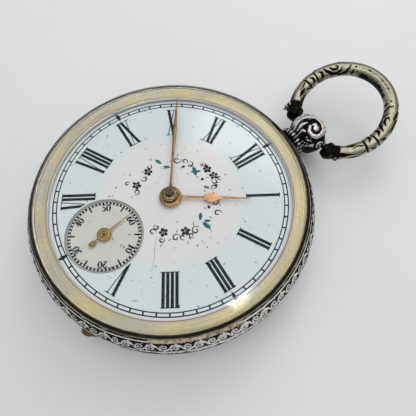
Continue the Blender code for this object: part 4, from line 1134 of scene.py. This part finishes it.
# places on the dial as shares of TRACK_R; leaves add heading and size, tendrils radius, start and turns
FLOWERS = ((-0.331, -0.039), (-0.265, -0.189), (0.326, -0.046), (0.240, -0.205), (-0.078, 0.415),
           (0.007, 0.429))
BUDS = ((-0.21, 0.251), (0.244, 0.233), (-0.014, 0.326), (0.10, 0.395))
LEAVES = ((-0.372, 0.084, 20.0, 1.0), (-0.285, 0.122, 50.0, 0.9), (-0.121, 0.308, -15.0, 1.3),
          (-0.10, 0.335, 70.0, 0.7), (0.073, 0.313, 30.0, 0.75), (0.278, 0.126, -35.0, 1.0),
          (0.377, 0.126, 15.0, 1.25), (0.345, 0.155, 60.0, 0.8))
TENDRILS = (
    (-0.30, 0.235, 0.05, 80.0, -1.2), (-0.25, 0.285, 0.04, 20.0, 1.0), (-0.20, 0.305, 0.05, 150.0, -0.8),
    (0.06, 0.41, 0.04, 200.0, 1.0), (0.11, 0.375, 0.04, 300.0, -1.1), (0.23, 0.30, 0.05, 130.0, -0.9),
    (0.33, 0.265, 0.045, 60.0, 1.0), (0.365, 0.03, 0.05, 100.0, 1.3), (0.385, -0.02, 0.035, 10.0, -1.1),
    (0.335, -0.14, 0.045, 80.0, 1.2), (0.36, -0.09, 0.035, 0.0, -1.0), (0.29, -0.25, 0.035, 90.0, -1.1),
    (0.17, -0.23, 0.035, 180.0, 1.2), (0.19, -0.28, 0.04, 60.0, 1.0), (-0.29, -0.10, 0.04, 250.0, 1.0),
    (-0.37, -0.01, 0.035, 130.0, -1.0), (-0.21, -0.22, 0.04, 300.0, 1.2), (-0.32, -0.25, 0.03, 90.0, 1.0),
    (-0.13, 0.42, 0.03, 180.0, 1.0), (0.05, 0.46, 0.03, 20.0, -0.9))
LEAF_OUTLINE = ((-0.75, 0.0), (-0.35, 0.3), (0.1, 0.34), (0.5, 0.2), (0.8, 0.0), (0.45, -0.12),
                (0.1, -0.26), (-0.35, -0.2))


def wreath():
    """The painted garland: five-dot flowers, teal leaves and curling tendrils."""
    flowers, leaves, vines = Printing(DIAL_Z), Printing(DIAL_Z), Printing(DIAL_Z)
    for x, y in FLOWERS:
        middle = (x * TRACK_R, y * TRACK_R)
        start = 360.0 * rng.random()
        for petal in range(5):
            at = polar(0.47, start + 72.0 * petal, middle)
            flowers.spot(at, 0.24 + 0.06 * rng.random(), 1.1, 90.0 - start - 72.0 * petal)
        vines.spot(middle, 0.15)
    for x, y in BUDS:
        flowers.spot((x * TRACK_R, y * TRACK_R), 0.22, 1.3, 360.0 * rng.random())
    for x, y, heading, size in LEAVES:
        middle = (x * TRACK_R, y * TRACK_R)
        leaves.polygon([spun(size * x, size * y, heading, middle) for x, y in LEAF_OUTLINE])
    for x, y, radius, start, turns in TENDRILS:
        points = curl((x * TRACK_R, y * TRACK_R), 0.78 * radius * TRACK_R, start, 0.8 * turns, 0.3, 14)
        vines.stroke(points, (0.09, 0.25, 0.14))
        vines.spot(points[-1], 0.11)
    for i in range(26):
        azimuth = -128.0 + 256.0 * i / 25 + 4.0 * rng.random()
        at = polar((0.36 + 0.07 * math.sin(2.1 * i)) * TRACK_R, azimuth)
        tip = polar(0.5 + 0.2 * rng.random(), azimuth + 90.0 * rng.random(), at)
        bend = ((at[0] + tip[0]) / 2 + 0.06, (at[1] + tip[1]) / 2 - 0.05)
        vines.stroke([at, bend, tip], (0.06, 0.15, 0.05))
    flowers.done("wreath_flowers", MAROON_INK)
    leaves.done("wreath_leaves", TEAL_INK)
    vines.done("wreath_tendrils", BLACK_INK)


def dial_wear():
    """A hairline crack and a few dark specks in the enamel."""
    marks = Printing(DIAL_Z - 0.004)
    crack = [polar(0.36 * TRACK_R, 138.0), polar(0.46 * TRACK_R, 136.0), polar(0.55 * TRACK_R, 133.5),
             polar(0.66 * TRACK_R, 133.0)]
    marks.stroke(crack, (0.03, 0.07, 0.04, 0.02))
    for _ in range(380):
        marks.spot(polar((0.15 + 0.83 * rng.random() ** 0.6) * TRACK_R, 360.0 * rng.random()),
                   0.03 + 0.09 * rng.random() ** 3, 1.0 + rng.random(), 360.0 * rng.random(), 7)
    marks.done("enamel_wear", WEAR_INK)


# ---- hands ----
def hand_blade(stations, low, edge, crown):
    """A hand along +Y with a raised middle, from stations of (distance, half width)."""
    rings = []
    for along, half in stations:
        rise = crown * min(1.0, half / 0.3)
        shoulder, shoulder_z = 0.45 * half, edge + 0.75 * rise
        rings.append([(-half, along, low), (half, along, low), (half, along, edge),
                      (shoulder, along, shoulder_z), (0.0, along, edge + rise),
                      (-shoulder, along, shoulder_z), (-half, along, edge)])
    return loft(rings)


def smooth_stations(stations, count):
    """Rounds a hand's stations with a Catmull-Rom curve."""
    stations = np.array(stations, float)
    padded = np.concatenate([[2 * stations[0] - stations[1]], stations, [2 * stations[-1] - stations[-2]]])
    result = []
    for t in np.linspace(0.0, len(stations) - 1.001, count):
        i = int(t)
        f = t - i
        a, b, c, d = padded[i:i + 4]
        point = 0.5 * (2 * b + (c - a) * f + (2 * a - 5 * b + 4 * c - d) * f ** 2
                       + (3 * b - a - 3 * c + d) * f ** 3)
        result.append((point[0], max(point[1], 0.02)))
    return result


def pointed(part, azimuth, where):
    """Turns a hand made along +Y to an azimuth and moves it to its arbor."""
    turn = Matrix.Rotation(math.radians(-azimuth), 4, "Z")
    return moved(part, Matrix.Translation((where[0], where[1], 0.0)) @ turn)


# azimuth, z of the blade's underside and edge, rise of its crown, points drawn, stations, boss profile
HANDS = {
    "minute": (303.5, 10.22, 10.34, 0.12, 60,
               [(1.1, 0.26), (3.0, 0.19), (6.0, 0.17), (9.0, 0.23), (11.0, 0.3), (12.4, 0.31), (14.0, 0.26),
                (16.0, 0.18), (18.0, 0.1), (19.35, 0.05)],
               [(1.33, 10.42), (1.33, 10.16), (0.46, 10.16), (0.46, 10.78), (0.62, 10.84), (0.78, 10.78),
                (0.84, 10.62), (0.95, 10.58), (1.1, 10.62), (1.26, 10.55)]),
    "hour": (33.4, 9.57, 9.69, 0.1, 80,
             [(1.5, 0.24), (3.5, 0.2), (5.2, 0.19), (5.5, 0.4), (5.85, 0.62), (6.35, 0.8), (6.9, 0.76),
              (7.35, 0.58), (7.8, 0.36), (8.5, 0.22), (10.5, 0.14), (12.97, 0.05)],
             [(1.8, 9.72), (1.8, 9.52), (1.24, 9.52), (1.24, 10.04), (1.36, 10.06), (1.46, 9.98),
              (1.5, 9.8), (1.58, 9.76), (1.7, 9.84), (1.78, 9.8)]),
    "seconds": (349.5, 9.14, 9.2, 0.06, 60,
                [(-2.9, 0.05), (-2.75, 0.28), (-2.35, 0.42), (-1.95, 0.34), (-1.6, 0.15), (-1.0, 0.13),
                 (0.0, 0.2), (1.2, 0.14), (3.5, 0.09), (5.7, 0.03)],
                [(1.1, 9.26), (1.1, 9.1), (0.27, 9.1), (0.27, 9.42), (0.4, 9.46), (0.52, 9.42),
                 (0.6, 9.32), (0.85, 9.33), (1.02, 9.32)]),
}


def hands():
    """The three hands in place; the long ones have bosses of their own colour."""
    for name, blade_look, body in (("minute", HAND_GOLD, "centre_body"), ("hour", PEAR_GOLD, "hour_body"),
                                   ("seconds", SECONDS_GOLD, "fourth_body")):
        azimuth, low, edge, crown, count, stations, boss = HANDS[name]
        centre = (SECONDS.x, SECONDS.y) if name == "seconds" else (0.0, 0.0)
        parts = [pointed(hand_blade(smooth_stations(stations, count), low, edge, crown), azimuth, centre)]
        hub = lathe(boss, 72 if name == "seconds" else 96)
        if name == "seconds":
            parts.append(shifted(hub, *centre, 0.0))
        make(f"{name}_hand_gilt", parts, blade_look, body, [f"{name}_hand"])
        if name != "seconds":
            make(f"{name}_boss", [hub], HUB_GOLD, body, sharp=50.0)


# ---- stage ----
CAMERA_AT = Vector((29.32, -10.01, 70.42))
CAMERA_RIGHT = Vector((0.52674, 0.84991, -0.01429))
CAMERA_DOWN = Vector((0.76807, -0.48309, -0.42036))
CAMERA_FORWARD = Vector((-0.36417, 0.21044, -0.90725))
LENS = 36.5
FLOOR_HALF = 6000.0


def camera():
    """Looks down on the watch from above its 4 o'clock side."""
    data = bpy.data.cameras.new("camera")
    data.lens = LENS
    data.sensor_width = 36.0
    data.clip_start = 0.005
    made = added("camera", data)
    turn = Matrix((CAMERA_RIGHT, -CAMERA_DOWN, -CAMERA_FORWARD)).transposed().to_4x4()
    made.matrix_world = Matrix.Translation(CAMERA_AT * MM) @ turn
    bpy.context.scene.camera = made


def floor():
    """A wide sheet of pale paper, with painted shade that makes it a little darker beyond 6 o'clock."""
    look = Look("floor_paper", (0.80, 0.81, 0.805), 0.55, 0.0)
    # painted shade: the paper is darker towards -Y
    far = look.ramp(look.node("SeparateXYZ", {0: look.place}, 1), -90.0 * MM, 10.0 * MM)
    pale = look.mix(far, (0.66, 0.68, 0.69), (0.80, 0.81, 0.81))
    shade = look.math("MULTIPLY", look.noise(0.02, 2.0), 0.5)
    look.set("Base Color", look.mix(shade, pale, (0.70, 0.71, 0.70)))
    look.bump(look.noise(1.0, 2.0), 0.01, 0.2)
    points, faces = block((-FLOOR_HALF, -FLOOR_HALF, -2.0), (FLOOR_HALF, FLOOR_HALF, -0.02))
    mesh = bpy.data.meshes.new("floor")
    mesh.from_pydata((points * MM).tolist(), [], faces)
    mesh.materials.append(look.material)
    added("floor", mesh)


def area_light(name, at, aim, size, watts, tall=None):
    """A lamp turned to a point: square, or a rectangle with its own height."""
    data = bpy.data.lights.new(name, "AREA")
    data.shape = "RECTANGLE" if tall else "SQUARE"
    data.size = size * MM
    if tall:
        data.size_y = tall * MM
    data.energy = watts
    made = added(name, data)
    made.location = Vector(at) * MM
    made.rotation_euler = (Vector(at) - Vector(aim)).to_track_quat("Z", "Y").to_euler()
    return made


def world():
    """A studio mixed by height, with a bright ceiling and a dark horizon, behind a plain pale backdrop."""
    made = bpy.data.worlds.new("studio")
    made.use_nodes = True
    bpy.context.scene.world = made
    nodes = Nodes(made.node_tree)
    height = nodes.node("SeparateXYZ", {0: nodes.node("TexCoord", {}, "Generated")}, 2)
    tone = nodes.node("ValToRGB", {0: nodes.node("MapRange", {"Value": height, "From Min": -1.0})})
    steps = tone.node.color_ramp.elements
    steps[0].color, steps[1].color = (0.5, 0.5, 0.5, 1.0), (1.0, 1.0, 1.0, 1.0)
    for position, value in ((0.46, 0.4), (0.5, 0.04), (0.58, 0.04), (0.66, 0.3), (0.84, 0.38), (0.92, 1.0)):
        steps.new(position).color = (value, value, 1.02 * value, 1.0)
    studio = nodes.tree.nodes["Background"]
    nodes.feed(studio.inputs["Color"], tone)
    nodes.feed(studio.inputs["Strength"], 1.27)
    backdrop = nodes.node("Background", {"Color": (0.72, 0.73, 0.73)})
    seen = nodes.node("LightPath", {}, "Is Camera Ray")
    both = nodes.node("MixShader", {0: seen, 1: studio.outputs[0], 2: backdrop})
    nodes.feed(nodes.tree.nodes["World Output"].inputs["Surface"], both)


def lights():
    """A softbox and a card for the whole watch, and nine small lamps that only the glass mirrors."""
    softbox = area_light("softbox", (-95.0, 125.0, 150.0), (0.0, 0.0, 0.0), 110.0, 0.1)
    softbox.visible_glossy = False
    card = area_light("card", (-170.0, -170.0, 70.0), (0.0, 0.0, 5.0), 200.0, 0.05)
    only_glass = bpy.data.collections.new("lit_by_lamps")
    only_glass.objects.link(bpy.data.objects["crystal_glass"])
    lamps = []
    for row, x in enumerate((92.0, 145.0, 222.0)):
        for column, y in enumerate((40.0, 54.0, 69.0)):
            lamp = area_light(f"lamp_{row}{column}", (x, y, 311.0), (20.5, 0.0, 11.5), 3.0, 0.26, tall=36.0)
            lamp.light_linking.receiver_collection = only_glass
            lamps.append(lamp)
    for lamp in [card] + lamps:
        lamp.visible_diffuse = False
        lamp.visible_transmission = False


bpy.context.scene.view_settings.view_transform = "Standard"
dress_nodes()
camera()
case_band()
bezel()
back_cover()
knob()
collar()
cap()
screw_heads()
bow()
hour_numerals()
minute_track()
seconds_printing()
wreath()
dial_wear()
hands()
floor()
world()
lights()
